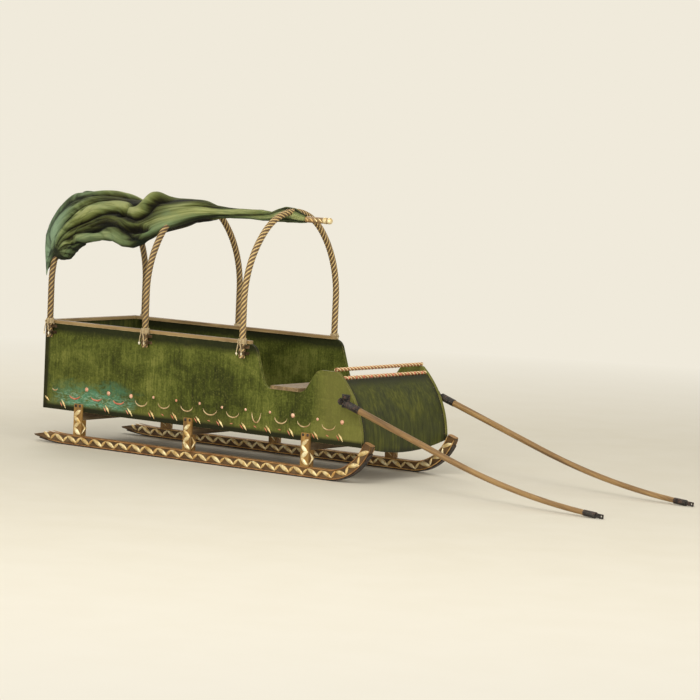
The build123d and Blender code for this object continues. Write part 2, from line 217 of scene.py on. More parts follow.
def timber(
    name, turn, dark, middle, light, bare, rough=0.62, coarse=1.0, reach=0.004, dirt=0.0, top=None,
):
    """Stained or bare wood.

    Turn lays its grain along the piece. Bare shows where edges are rubbed, and top colours the
    faces that look upward.
    """
    finish, place = start_finish(name)
    tree = finish.node_tree
    along = out(tree, "ShaderNodeMapping", {"Vector": place, "Rotation": turn})
    grain = put(tree, "ShaderNodeGroup", {"Place": along, "Coarse": coarse}, node_tree=grain_effect)
    figure, fibre = grain.outputs["Figure"], grain.outputs["Fibre"]
    cloud = specks(place, 2.6, 4.0)
    colour = shades(figure, (0.3, dark), (0.5, middle), (0.72, light))
    coats = [
        (spread(fibre, 0.55, 0.8, 0.0, 0.45), dark),
        (spread(cloud, 0.35, 0.7, 0.0, 0.35), middle),
    ]
    if top:
        up = axis(put(tree, "ShaderNodeNewGeometry").outputs["Normal"], "Z")
        uneven = spread(figure, 0.3, 0.7, 0.9, 0.45)
        coats.append((times(spread(up, 0.6, 0.9), uneven), top))
    coats.append((times(worn(place, reach), 0.75), bare))
    if dirt:
        splash = out(tree, "ShaderNodeGroup", {"Place": place}, node_tree=dirt_effect)
        coats.append((times(splash, dirt), "#b9a988"))
    return finished(finish, {
        "Base Color": layered(colour, *coats),
        "Roughness": spread(fibre, 0.3, 0.8, rough - 0.1, rough + 0.15),
    }, plus(figure, times(fibre, 0.6)), 0.0016)


def gilding(name, low, high, ground, leaf):
    """Gold leaf, or a colour in its place, over a ground tone, rubbed through in places."""
    finish, place = start_finish(name)
    rubbed = spread(specks(place, 46.0, 5.0, 0.7), 0.56, 0.68)
    sheen = specks(place, 19.0, 4.0, 0.6)
    colour = mixed(spread(sheen, 0.35, 0.65), low, high)
    return finished(finish, {
        "Base Color": mixed(times(rubbed, 0.8), colour, ground),
        "Metallic": spread(rubbed, 0.0, 1.0, leaf, 0.0),
        "Roughness": spread(sheen, 0.3, 0.7, 0.32, 0.52),
    }, specks(place, 160.0, 3.0), 0.0009)


def iron(name, black, grey, rust):
    """Forged iron, blackened, with rust where water stays."""
    finish, place = start_finish(name)
    cloud = specks(place, 9.0, 6.0, 0.65)
    rusty = spread(specks(place, 33.0, 6.0, 0.72), 0.5, 0.66)
    coats = [(times(rusty, 0.7), rust), (times(worn(place, 0.003), 0.6), "#8d8a84")]
    return finished(finish, {
        "Base Color": layered(mixed(spread(cloud, 0.35, 0.65), black, grey), *coats),
        "Metallic": spread(rusty, 0.0, 1.0, 0.75, 0.1),
        "Roughness": spread(cloud, 0.3, 0.7, 0.42, 0.68),
    }, plus(cloud, times(rusty, 0.4)), 0.0018)


def workshop(name, sizes):
    """Starts a geometry tree that works on a path or on points, with named inputs."""
    kinds = {"size": "NodeSocketFloat", "count": "NodeSocketInt", "finish": "NodeSocketMaterial"}
    tree = bpy.data.node_groups.new(name, "GeometryNodeTree")
    tree.interface.new_socket("Geometry", in_out="OUTPUT", socket_type="NodeSocketGeometry")
    tree.interface.new_socket("Start", in_out="INPUT", socket_type="NodeSocketGeometry")
    for label, kind in sizes.items():
        tree.interface.new_socket(label, in_out="INPUT", socket_type=kinds[kind])
    return tree, tree.nodes.new("NodeGroupInput").outputs


def finish_tree(tree, shape, finish):
    real = out(tree, "GeometryNodeRealizeInstances", {"Geometry": shape})
    smooth = out(tree, "GeometryNodeSetShadeSmooth", {"Geometry": real})
    done = out(tree, "GeometryNodeSetMaterial", {"Geometry": smooth, "Material": finish})
    tree.links.new(done, tree.nodes.new("NodeGroupOutput").inputs[0])
    return tree


def lines_of(*lines):
    """One mesh of open lines, each through a list of points."""
    points, edges = [], []
    for line in lines:
        edges += [(len(points) + i, len(points) + i + 1) for i in range(len(line) - 1)]
        points += [tuple(p) for p in line]
    mesh = bpy.data.meshes.new("lines")
    mesh.from_pydata(points, edges, [])
    return mesh


def stand(name, data):
    """An object at the origin for a mesh, a lamp or a camera."""
    thing = bpy.data.objects.new(name, data)
    bpy.context.scene.collection.objects.link(thing)
    return thing


def made(name, tree, start, slot, body="root", **sizes):
    """Runs a geometry tree on its start and keeps the result as a mesh that rides on a body."""
    piece = stand(name, start)
    step = piece.modifiers.new("make", "NODES")
    step.node_group = tree
    for socket in tree.interface.items_tree:
        if socket.in_out == "INPUT" and socket.name in sizes:
            step[socket.identifier] = sizes[socket.name]
    graph = bpy.context.evaluated_depsgraph_get()
    done = bpy.data.meshes.new_from_object(
        piece.evaluated_get(graph), preserve_all_data_layers=True, depsgraph=graph,
    )
    piece.modifiers.remove(step)
    piece.data = done
    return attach(piece, body)


def vector(tree, x=0.0, y=0.0, z=0.0):
    return out(tree, "ShaderNodeCombineXYZ", {0: x, 1: y, 2: z})


def even_path(tree, start, step):
    """The lines of the start as curves, with points at one step."""
    path = out(tree, "GeometryNodeMeshToCurve", {0: start})
    return out(tree, "GeometryNodeResampleCurve", {"Curve": path, "Length": step}, mode="LENGTH")


def humped(tree, power, least):
    """Swells from least at both ends of a curve to one in its middle."""
    hump = maths("SINE", times(out(tree, "GeometryNodeSplineParameter"), math.pi))
    return maths("MAXIMUM", maths("POWER", hump, power), least)


def swept(tree, path, sides, radius, scale):
    """Closed round bar along a curve."""
    ring = out(tree, "GeometryNodeCurvePrimitiveCircle", {"Resolution": sides, "Radius": radius})
    bar = {"Curve": path, "Profile Curve": ring, "Scale": scale, "Fill Caps": True}
    return out(tree, "GeometryNodeCurveToMesh", bar)


def stroke_tree():
    """Tapered, slightly bowed strokes set along a path at one pitch."""
    tree, given = workshop("carved strokes", {
        "Pitch": "size", "Length": "size", "Width": "size", "Depth": "size", "Slant": "size",
        "Taper from": "size", "Taper to": "size", "Seed": "count", "Finish": "finish",
    })
    path = even_path(tree, given["Start"], given["Pitch"])
    half = times(given["Length"], 0.5)
    spine = out(tree, "GeometryNodeCurveQuadraticBezier", {
        "Start": vector(tree, times(half, -1.0)),
        "Middle": vector(tree, z=times(given["Width"], 0.25)),
        "End": vector(tree, half),
        "Resolution": 8,
    })
    leaf = swept(tree, spine, 7, times(given["Width"], 0.5), humped(tree, 0.7, 0.06))
    flat = maths("DIVIDE", times(given["Depth"], 2.0), given["Width"])
    shape = {"Geometry": leaf, "Scale": vector(tree, 1.0, flat, 1.0)}
    leaf = out(tree, "GeometryNodeTransform", shape)
    tangent = out(tree, "GeometryNodeInputTangent")
    facing = out(tree, "FunctionNodeAlignRotationToVector", {"Vector": tangent}, axis="X")
    slant = out(tree, "FunctionNodeEulerToRotation", {0: vector(tree, y=given["Slant"])})
    turned = {"Rotation": facing, "Rotate By": slant}
    facing = out(tree, "FunctionNodeRotateRotation", turned, rotation_space="LOCAL")
    x = axis(out(tree, "GeometryNodeInputPosition"), "X")
    shrink = spread(x, given["Taper from"], given["Taper to"], 0.3, 1.0)
    chance = {2: 0.9, 3: 1.08, "Seed": given["Seed"]}
    luck = put(tree, "FunctionNodeRandomValue", chance, data_type="FLOAT").outputs[1]
    grown = times(shrink, luck)
    size = vector(tree, grown, 1.0, grown)
    placed = {"Points": path, "Instance": leaf, "Rotation": facing, "Scale": size}
    set_out = out(tree, "GeometryNodeInstanceOnPoints", placed)
    return finish_tree(tree, set_out, given["Finish"])


def bead_tree():
    """Half round bead along each line, drawn to a point at both ends."""
    tree, given = workshop("gilded bead", {"Thick": "size", "Point": "size", "Finish": "finish"})
    path = out(tree, "GeometryNodeMeshToCurve", {0: given["Start"]})
    swell = humped(tree, given["Point"], 0.12)
    bead = swept(tree, path, 8, times(given["Thick"], 0.5), swell)
    return finish_tree(tree, bead, given["Finish"])


strokes = stroke_tree()
beads = bead_tree()


def carved(name, lines, slot, finish, thick, point=0.5):
    """Lays a bead along each line, all as one piece."""
    return made(name, beads, lines_of(*lines), slot, Thick=thick, Point=point, Finish=finish)


along_x = (0.0, 0.0, 0.0)
along_y = (0.0, 0.0, -math.pi / 2)
along_z = (0.0, math.pi / 2, 0.0)

runner_stain = timber(
    "runner stain", along_x, "#2c1d08", "#4f3511", "#724f1f", "#9d7940", dirt=0.15, top="#a87c45",
)
runner_gold = gilding("runner gold", "#b8934e", "#ecdba8", "#6d4d20", leaf=0.4)
gold_leaf = gilding("gold leaf", "#c9a560", "#fbf0c4", "#7a5827", leaf=0.4)
dull_gold = gilding("dull gold", "#bd9150", "#ecd08f", "#6a4820", leaf=0.35)
edge_gold = gilding("edge gold", "#84552b", "#b98a52", "#4a2c12", leaf=0.2)
# Brighter gold for the inner faces, as painted light: it lifts the far runner's inner face, which
# lies in the shade of the body.
painted_light_gold = gilding("inner painted light gold", "#e2b868", "#fff3c6", "#94703a", leaf=0.5)
painted_light_edge_gold = gilding("inner painted light edge gold", "#b98544", "#e6bd7a", "#6c4420", leaf=0.3)
shoe_iron = iron("shoe iron", "#22211f", "#4a4845", "#6b4025")

flat_rear, flat_front = -2.5987, 0.2613
shoe, beam_height, half_beam = 0.008, 0.085, 0.031
nose_bend, tail_bend = 0.480, 2.225
nose_turn, tail_turn = 68, 9
runner_y = 0.575


def runner_line(y, level=0.5):
    """Line on a runner's face at a share of its height: its tail, long flat and curled nose."""
    rise = beam_height * level
    tail, nose = tail_bend - rise, nose_bend - rise
    line = []
    for step in range(tail_turn, 0, -1):
        turn = math.radians(step)
        x, z = flat_rear - tail * math.sin(turn), shoe + tail_bend - tail * math.cos(turn)
        line.append((x, y, z))
    for step in range(30):
        line.append((flat_rear + (flat_front - flat_rear) * step / 30, y, shoe + rise))
    for step in range(0, nose_turn + 1, 4):
        turn = math.radians(step)
        x, z = flat_front + nose * math.sin(turn), shoe + nose_bend - nose * math.cos(turn)
        line.append((x, y, z))
    return line


def shortened(line, cut):
    """The line with the same length cut off at both its ends."""
    points = [Vector(p) for p in line]
    for _ in range(2):
        points.reverse()
        left = cut
        while (points[-1] - points[-2]).length < left:
            left -= (points[-1] - points[-2]).length
            points.pop()
        points[-1] = points[-1].lerp(points[-2], left / (points[-1] - points[-2]).length)
    return points


faces = {
    "outer": (-runner_y - half_beam, runner_y + half_beam),
    "inner": (-runner_y + half_beam, runner_y - half_beam),
}
usual_pitch = 0.15
face_length = sum(math.dist(a, b) for a, b in zip(runner_line(0), runner_line(0)[1:]))
pitch = face_length / round(face_length / usual_pitch)
taper = {"Taper from": -2.98, "Taper to": -2.78}


def stroked(name, lines, finish, apart, length, width, depth, slant, seed):
    """Carves gilded strokes in a row along each line, all as one piece."""
    return made(
        name, strokes, lines_of(*lines), "gold_paint", Pitch=apart, Length=length, Width=width,
        Depth=depth, Slant=math.radians(slant), **taper, Seed=seed, Finish=finish,
    )


# The inner faces take the brighter golds, painted light for the far runner in shade.
for place, long_gold, short_gold, bead_gold in (
    ("outer", runner_gold, dull_gold, edge_gold),
    ("inner", painted_light_gold, painted_light_gold, painted_light_edge_gold),
):
    long_rows = [shortened(runner_line(y), pitch / 2) for y in faces[place]]
    short_rows = [shortened(runner_line(y), pitch) for y in faces[place]]
    edges = [runner_line(y, level)[2:] for y in faces[place] for level in (0.08, 0.93)]
    stroked(
        "runner_carving_" + place, long_rows, long_gold,
        apart=pitch, length=0.122, width=0.040, depth=0.011, slant=27, seed=3,
    )
    stroked(
        "runner_carving_short_" + place, short_rows, short_gold,
        apart=pitch, length=0.076, width=0.026, depth=0.009, slant=-46, seed=4,
    )
    carved("runner_edge_beads_" + place, edges, "gold_paint", bead_gold, thick=0.009, point=0.08)


def dress(finish, *names):
    """Gives CAD nodes their finish."""
    for name in names:
        solid[name].data.materials.clear()
        solid[name].data.materials.append(finish)


dress(runner_stain, "runner_left", "runner_right")
dress(shoe_iron, "runner_shoe_left", "runner_shoe_right")


# Knees and bunks: six ash knees stand on the runners and carry three cross beams. A zigzag of
# strokes is carved and gilded on each, and two carriage bolts pull its ear against the wall.

def spots_of(fixings):
    """Points with the way that each one faces, for bolts, nails and beads."""
    mesh = bpy.data.meshes.new("spots")
    mesh.from_pydata([tuple(at) for at, _ in fixings], [], [])
    facing = mesh.attributes.new("facing", "FLOAT_VECTOR", "POINT")
    for spot, (_, way) in zip(facing.data, fixings):
        spot.vector = way
    return mesh


def head_tree():
    """Domed heads on thin washers, one on each point, turned to face its own way."""
    sizes = {"Radius": "size", "Dome": "size", "Washer": "size", "Finish": "finish"}
    tree, given = workshop("domed heads", sizes)
    ball = {"Segments": 10, "Rings": 6, "Radius": given["Radius"]}
    dome = out(tree, "GeometryNodeMeshUVSphere", ball)
    flat = vector(tree, 1.0, 1.0, given["Dome"])
    dome = out(tree, "GeometryNodeTransform", {"Geometry": dome, "Scale": flat})
    brim = times(given["Radius"], given["Washer"])
    thick = times(given["Radius"], 0.28)
    washer = out(tree, "GeometryNodeMeshCylinder", {"Vertices": 12, "Radius": brim, "Depth": thick})
    both = out(tree, "GeometryNodeJoinGeometry", {0: dome})
    tree.links.new(washer, both.node.inputs[0])
    way = out(tree, "GeometryNodeInputNamedAttribute", {"Name": "facing"}, data_type="FLOAT_VECTOR")
    facing = out(tree, "FunctionNodeAlignRotationToVector", {"Vector": way}, axis="Z")
    placed = {"Points": given["Start"], "Instance": both, "Rotation": facing}
    set_out = out(tree, "GeometryNodeInstanceOnPoints", placed)
    return finish_tree(tree, set_out, given["Finish"])


heads = head_tree()


def studs(name, fixings, finish, radius, dome, washer, slot="iron", body="root"):
    """Sets the heads of bolts, nails or beads as one piece."""
    sizes = {"Radius": radius, "Dome": dome, "Washer": washer, "Finish": finish}
    return made(name, heads, spots_of(fixings), slot, body, **sizes)


knee_stain = timber("knee stain", along_z, "#4c3413", "#876229", "#b48c45", "#d2b071", dirt=0.1)
bunk_wood = timber(
    "bunk wood", along_y, "#3a2d1c", "#5e4c33", "#83704f", "#a18e6b", rough=0.75, dirt=0.3,
)
bolt_iron = iron("bolt iron", "#1d1c1b", "#3e3c3a", "#5f3a24")

places = ("rear", "middle", "front")
knee_places = [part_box("knee_" + place + "_left") for place in places]
knee_middle_y = 0.5775
zigzag_foot, zigzag_rise, face_swing, side_swing = 0.112, 0.050, 0.030, 0.022
fall_foot, rise_foot, knee_pitch = 0.137, 0.187, 0.1
ear_bolt_z, ear_bolt_apart = 0.353, 0.048
zigzags, fall_strokes, rise_strokes, bolts = [], [], [], []
for low, high in knee_places:
    middle = (low.x + high.x) / 2
    for side in (-1, 1):
        y = side * high.y
        for foot, kept in ((fall_foot, fall_strokes), (rise_foot, rise_strokes)):
            kept.append([(middle, y, foot), (middle, y, foot + knee_pitch + 0.001)])
        steps = [((-1) ** step, zigzag_foot + zigzag_rise * step) for step in range(3)]
        zigzags.append([(middle + face_swing * way, side * low.y, z) for way, z in steps])
        for x in (low.x, high.x):
            zigzags.append([(x, side * (knee_middle_y + side_swing * way), z) for way, z in steps])
        for way in (-1, 1):
            bolts.append(((middle + way * ear_bolt_apart / 2, y, ear_bolt_z), (0, side, 0)))
carved("knee_zigzags", zigzags, "gold_paint", gold_leaf, thick=0.028, point=0.25)
for name, lines, slant, seed in (
    ("knee_fall_strokes", fall_strokes, -50, 14),
    ("knee_rise_strokes", rise_strokes, 50, 15),
):
    stroked(
        name, lines, gold_leaf,
        apart=knee_pitch, length=0.092, width=0.040, depth=0.012, slant=slant, seed=seed,
    )
studs("knee_bolts", bolts, bolt_iron, radius=0.009, dome=0.6, washer=1.35)

dress(knee_stain, *["knee_" + place + side for place in places for side in ("_left", "_right")])
dress(bunk_wood, *["bunk_" + place for place in places])


# Body box: sills and five floor planks, nailed down, with a rear board and corner posts inside.
# The planks are bare, and the posts and the rear board carry the dark green paint of the body.

def dark_green_paint(name, span=None):
    """Old brushed paint on boards: mottled, streaked downwards, rubbed through at the edges.

    A board given by its span, as half width, foot and top, gets painted shade along its border.
    """
    finish, place = start_finish(name)
    mottle = specks(place, 4.2, 6.0, 0.62, 0.4)
    run_down = specks(stretched(place, 34, 34, 2.6), 1.0, 4.0, 0.6, 0.3)
    brush = specks(stretched(place, 160, 160, 9), 1.0, 2.0)
    tone = plus(times(mottle, 0.5), times(run_down, 0.5))
    colour = shades(tone, (0.33, "#22250a"), (0.5, "#3c4014"), (0.68, "#5d5d22"))
    flecks = spread(specks(stretched(place, 1, 1, 0.4), 60.0, 4.0, 0.7), 0.6, 0.72)
    coats = [(times(flecks, 0.35), "#22250a")]
    if span:
        half, foot, top = span
        # Painted shade under the rails, along the foot and beside the walls, where the board lies in
        # shade.
        ragged = plus(axis(place, "Z"), times(run_down, 0.08))
        shade_under_rails = spread(ragged, top - 0.02, top + 0.03)
        shade_along_foot = spread(ragged, foot + 0.09, foot + 0.05)
        off_middle = maths("ABSOLUTE", axis(place, "Y"))
        beside = plus(off_middle, times(mottle, 0.06))
        edges = maths("MAXIMUM", shade_under_rails, shade_along_foot)
        edges = maths("MAXIMUM", edges, spread(beside, half - 0.04, half + 0.03))
        coats.append((times(edges, 0.8), "#16180a"))
    coats.append((times(worn(place, 0.003), 0.8), "#a48d5e"))
    return finished(finish, {
        "Base Color": layered(colour, *coats),
        "Roughness": spread(mottle, 0.3, 0.7, 0.52, 0.74),
        "Specular IOR Level": 0.25,
    }, plus(brush, times(run_down, 0.8)), 0.0012)


plank_wood = timber(
    "plank wood", along_x, "#4a3b25", "#715d40", "#97835f", "#ab9871", rough=0.78, coarse=1.4,
)
sill_wood = timber("sill wood", along_x, "#3f321f", "#64533a", "#86744f", "#9f8c66", rough=0.75)

floor_low, floor_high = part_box("floor_boards")
nail_rows, end_inset, planks, beside_plank = 7, 0.04, 5, 0.075
row_apart = (floor_high.x - floor_low.x - 2 * end_inset) / (nail_rows - 1)
plank_width = (floor_high.y - floor_low.y) / planks
nails = []
for row in range(nail_rows):
    for plank in range(planks):
        for edge in (-beside_plank, beside_plank):
            x = floor_low.x + end_inset + row_apart * row
            y = floor_low.y + (plank + 0.5) * plank_width + edge
            nails.append(((x, y, floor_high.z), (0, 0, 1)))
rear_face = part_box("rear_board")[0].x
post_y, lowest_nail, nail_apart = 0.535, 0.42, 0.11
for side in (-1, 1):
    for step in range(6):
        nails.append(((rear_face, side * post_y, lowest_nail + nail_apart * step), (-1, 0, 0)))
studs("box_nails", nails, bolt_iron, radius=0.0055, dome=0.35, washer=1.05)

dress(plank_wood, "floor_boards")
dress(sill_wood, "sill_left", "sill_right")
dress(dark_green_paint("dark green paint"), "rear_board", "corner_posts")


# Sides: two wide board walls in olive paint, cut to a round wing in front. A border of gilded
# strokes, small swags and coral beads is laid along the foot of each wall.

side_low, side_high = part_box("side_left")
wall_face, wall_foot = side_high.y, side_low.z


def wall_paint():
    """Olive paint with painted shade under the rail and along the foot, and a blue green rear patch.
    """
    finish, place = start_finish("olive wall paint")
    x, z = axis(place, "X"), axis(place, "Z")
    mottle = specks(stretched(place, 1.0, 1.0, 1.5), 2.7, 6.0, 0.66, 0.7)
    patches = specks(stretched(place, 1.0, 1.0, 0.6), 1.3, 3.0, 0.55, 0.4)
    run_down = specks(stretched(place, 26, 1, 2.6), 1.0, 4.0, 0.66, 0.8)
    brush = specks(stretched(place, 120, 1, 14), 1.0, 3.0, 0.6)
    fine = specks(place, 62.0, 5.0, 0.7)
    tone = plus(times(mottle, 0.42), times(run_down, 0.26))
    tone = plus(tone, times(brush, 0.12))
    tone = plus(tone, times(patches, 0.20))
    colour = shades(
        tone, (0.38, "#25290a"), (0.47, "#414715"), (0.54, "#5a6025"), (0.64, "#7e7f3d"),
    )
    front = spread(plus(x, times(mottle, 0.3)), 0.18, 0.36, 0.0, 0.65)
    foot = spread(plus(z, times(mottle, 0.2)), 0.56, 0.40, 0.0, 0.38)
    rear = spread(plus(x, times(mottle, 0.9)), -1.36, -1.76)
    off_end = maths("SUBTRACT", x, times(mottle, 0.3))
    rear = times(rear, spread(off_end, -3.02, -2.80))
    outside = maths("ABSOLUTE", axis(place, "Y"))
    rear = times(rear, spread(outside, wall_face - 0.010, wall_face - 0.002))
    below_top = spread(plus(z, times(mottle, 0.3)), 0.75, 0.62)
    band = times(spread(z, 0.32, 0.38), below_top)
    blots = specks(stretched(place, 1.0, 1.0, 2.2), 9.0, 4.0, 0.6, 0.9)
    foam = specks(stretched(place, 1.0, 1.0, 3.5), 24.0, 3.0, 0.6, 0.6)
    low_band = times(spread(z, 0.34, 0.38), spread(z, 0.50, 0.44))
    rail_shade_line = plus(z, times(plus(run_down, mottle), 0.07))
    foot_shade_line = plus(z, times(fine, 0.016))
    colour = layered(
        colour,
        (spread(fine, 0.5, 0.66, 0.0, 0.55), "#2c2f0c"),
        (spread(fine, 0.46, 0.34, 0.0, 0.4), "#7b7a3e"),
        (front, "#727037"),
        (foot, "#706c37"),
        (times(times(rear, band), spread(blots, 0.38, 0.60, 0.10, 0.90)), "#4c8467"),
        (times(times(rear, low_band), spread(foam, 0.48, 0.60, 0.0, 0.75)), "#86a68a"),
        # Painted shade: a dark band under the rail and a dark line along the foot.
        (spread(rail_shade_line, 1.020, 1.075, 0.0, 0.9), "#1b1e0c"),
        (spread(foot_shade_line, 0.366, 0.340, 0.0, 0.95), "#1a1b0c"),
        (spread(plus(x, times(fine, 0.03)), -2.855, -2.890, 0.0, 0.85), "#1e1b0c"),
        (times(worn(place), 0.85), "#a99465"),
    )
    up_board = maths("FRACT", maths("DIVIDE", maths("SUBTRACT", z, 0.3), 0.1875))
    joint = spread(maths("ABSOLUTE", maths("SUBTRACT", up_board, 0.5)), 0.49, 0.5, 0.0, -1.0)
    return finished(finish, {
        "Base Color": colour,
        "Roughness": spread(mottle, 0.3, 0.7, 0.5, 0.7),
        "Specular IOR Level": 0.12,
    }, plus(plus(brush, run_down), joint), 0.0015)


olive_paint = wall_paint()
coral_bead = gilding("coral bead", "#b9583c", "#dd8f70", "#7d4a2c", leaf=0.1)
pale_coral = gilding("pale coral", "#d08a66", "#f6cfae", "#8a5a36", leaf=0.1)
tan_bead = gilding("tan bead", "#a88658", "#e3c797", "#6d5230", leaf=0.3)
pale_gold = gilding("pale gold", "#c7a062", "#f1dfa6", "#80622f", leaf=0.4)

dice = random.Random(8)


def clear_of_knees(x, gap):
    return all(not low.x - gap < x < high.x + gap for low, high in knee_places)


def swag(x, y, z, half, drop):
    """Hanging curve between two points, part of an upright ellipse."""
    curve = []
    for step in range(9):
        turn = math.radians(8 + 164 * step / 8)
        curve.append((x - math.cos(turn) * half, y, z - math.sin(turn) * drop))
    return curve


def short_stroke(x, y, z, length, slant):
    """Slightly bowed stroke about a middle point, falling forward by its slant."""
    across, up = math.cos(slant) * length / 2, math.sin(slant) * length / 2
    bowed = 0.05 * length
    middle = (x + bowed * math.sin(slant), y, z + bowed * math.cos(slant))
    return [(x - across, y, z + up), middle, (x + across, y, z - up)]


border_marks, border_pitch, deep_mark = 13, 0.256, 8
first_mark, stroke_up, dab_up, swag_up, bead_up = 0.245, 0.058, 0.066, 0.142, 0.200
large_bead_marks = (1, 2, 3, 10, 12)
long_strokes, shadow_strokes, coral_swags, gold_swags, dabs = [], [], [], [], []
large_spots, small_spots = [], []
for side in (-1, 1):
    y = side * wall_face
    start = short_stroke(side_low.x + 0.045, y, wall_foot + 0.085, 0.07, math.radians(40))
    long_strokes.append(start)
    gold_swags.append(swag(side_low.x + 0.135, y, wall_foot + 0.185, 0.030, 0.022))
    for mark in range(border_marks):
        x = side_low.x + first_mark + border_pitch * mark + dice.uniform(-0.006, 0.006)
        between_marks = x + border_pitch / 2
        if clear_of_knees(x, 0.035):
            slant = math.radians(dice.uniform(46, 56))
            z = wall_foot + stroke_up + dice.uniform(-0.006, 0.006)
            long_strokes.append(short_stroke(x, y, z, dice.uniform(0.080, 0.096), slant))
            shadow_strokes.append(short_stroke(x - 0.030, y, z - 0.004, 0.052, slant))
        if mark > 0:
            spots = large_spots if mark in large_bead_marks else small_spots
            z = wall_foot + bead_up + dice.uniform(-0.008, 0.008)
            spots.append(((x + 0.010, y, z), (0, side, 0)))
        if mark + 1 == border_marks:
            continue
        z = wall_foot + dice.uniform(swag_up, swag_up + 0.010)
        if mark == deep_mark:
            gold_swags.append(swag(between_marks, y, z + 0.055, 0.050, 0.100))
        elif mark < 3:
            half, drop = dice.uniform(0.058, 0.070), dice.uniform(0.024, 0.034)
            coral_swags.append(swag(between_marks, y, z, half, drop))
        else:
            half, drop = dice.uniform(0.064, 0.078), dice.uniform(0.046, 0.056)
            gold_swags.append(swag(between_marks, y, z + 0.022, half, drop))
        if mark > 3 and clear_of_knees(between_marks, 0.05):
            slant = math.radians(dice.uniform(-12, 30))
            dabs.append(short_stroke(between_marks - 0.01, y, wall_foot + dab_up, 0.034, slant))

for name, lines, slot, thick, finish in (
    ("border_strokes", long_strokes, "gold_paint", 0.020, pale_gold),
    ("border_shadow_strokes", shadow_strokes, "coral_paint", 0.011, coral_bead),
    ("border_swags", gold_swags, "gold_paint", 0.012, tan_bead),
    ("border_coral_swags", coral_swags, "coral_paint", 0.015, coral_bead),
    ("border_dabs", dabs, "coral_paint", 0.010, coral_bead),
):
    carved(name, lines, slot, finish, thick)
for name, spots, radius in (
    ("border_beads", large_spots, 0.0165),
    ("border_small_beads", small_spots, 0.0105),
):
    studs(name, spots, pale_coral, radius, dome=0.5, washer=1.15, slot="coral_paint")

dress(olive_paint, "side_left", "side_right")


# Front: a bent board closes the round front, streaked dark green. Two gilded rails twisted like
# rope run across it, the lower one set with coral beads.

def twist_tree():
    """Rope twisted pole along each line: round strands, every other one of them gilded."""
    tree, given = workshop("twisted pole", {
        "Radius": "size", "Lead": "size", "Groove": "size", "Step": "size", "Strands": "count",
        "Finish": "finish",
    })
    path = even_path(tree, given["Start"], given["Step"])
    far = put(tree, "GeometryNodeSplineParameter").outputs["Length"]
    tilt = times(maths("DIVIDE", far, given["Lead"]), 2 * math.pi)
    path = out(tree, "GeometryNodeSetCurveTilt", {"Curve": path, "Tilt": tilt})
    ring = out(tree, "GeometryNodeCurvePrimitiveCircle", {"Resolution": 40, "Radius": 1.0})
    turn = times(out(tree, "GeometryNodeSplineParameter"), 2 * math.pi)
    half_strands = maths("DIVIDE", given["Strands"], 2.0)
    wave = maths("COSINE", times(turn, half_strands))
    crest = maths("POWER", maths("ABSOLUTE", wave), 0.55)
    depth = times(maths("SUBTRACT", 1.0, crest), given["Groove"])
    radius = times(maths("SUBTRACT", 1.0, depth), given["Radius"])
    # The crest is kept for the strand finish, which paints shade in the grooves with it.
    for name, value in (("crest", crest), ("gilt", wave)):
        stored = {"Geometry": ring, "Name": name, "Value": value}
        ring = out(
            tree, "GeometryNodeStoreNamedAttribute", stored, data_type="FLOAT", domain="POINT",
        )
    here = out(tree, "GeometryNodeInputPosition")
    lobed = out(tree, "ShaderNodeVectorMath", {0: here, 3: radius}, operation="SCALE")
    ring = out(tree, "GeometryNodeSetPosition", {"Geometry": ring, "Position": lobed})
    bar = {"Curve": path, "Profile Curve": ring, "Fill Caps": True}
    return finish_tree(tree, out(tree, "GeometryNodeCurveToMesh", bar), given["Finish"])


def strand_finish(name, gilt, shadow_gilt, dark, shadow_dark, leaf):
    """Strands that are gilded and stained in turn, with painted shade in the grooves between them.
    """
    finish, place = start_finish(name)
    tree = finish.node_tree
    crest = put(tree, "ShaderNodeAttribute", attribute_name="crest").outputs["Fac"]
    strand = put(tree, "ShaderNodeAttribute", attribute_name="gilt").outputs["Fac"]
    rub = specks(place, 60.0, 5.0, 0.7)
    strand = spread(plus(strand, spread(rub, 0.3, 0.7, -0.22, 0.12)), -0.08, 0.12)
    # Painted shade: the low parts between the crests take the shadow tones.
    high = spread(plus(crest, spread(rub, 0.3, 0.7, -0.2, 0.2)), 0.3, 0.85)
    light = mixed(high, shadow_gilt, gilt)
    brown = mixed(high, shadow_dark, dark)
    return finished(finish, {
        "Base Color": mixed(strand, brown, light),
        "Metallic": times(strand, leaf),
        "Roughness": spread(rub, 0.3, 0.7, 0.4, 0.6),
    }, specks(place, 240.0, 3.0), 0.0009)


twists = twist_tree()
rail_gilt = strand_finish("rail gilt", "#f0d9a4", "#94703c", "#b3704a", "#552f1a", leaf=0.25)

rail_half = 0.015
rail_low, rail_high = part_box("dash_rails")
upper_x, upper_z = 0.2983, rail_high.z - rail_half
lower_x, lower_z = 0.3583, rail_low.z + rail_half
rail_lines = []
for x, z, half in ((upper_x, upper_z, 0.589), (lower_x, lower_z, 0.561)):
    rail_lines.append([(x, half * step / 12, z) for step in range(-12, 13)])
rails = made(
    "dash_rails_twisted", twists, lines_of(*rail_lines), "gilt_wood",
    Radius=0.0165, Lead=0.09, Groove=0.38, Step=0.006, Strands=4, Finish=rail_gilt,
)
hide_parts("dash_rails")

rail_beads = []
for step in range(-5, 6):
    rail_beads.append(((lower_x + 0.0135, 0.1 * step, lower_z + 0.002), (1, 0, 0.1)))
studs("dash_beads", rail_beads, coral_bead, radius=0.010, dome=0.6, washer=1.2, slot="coral_paint")

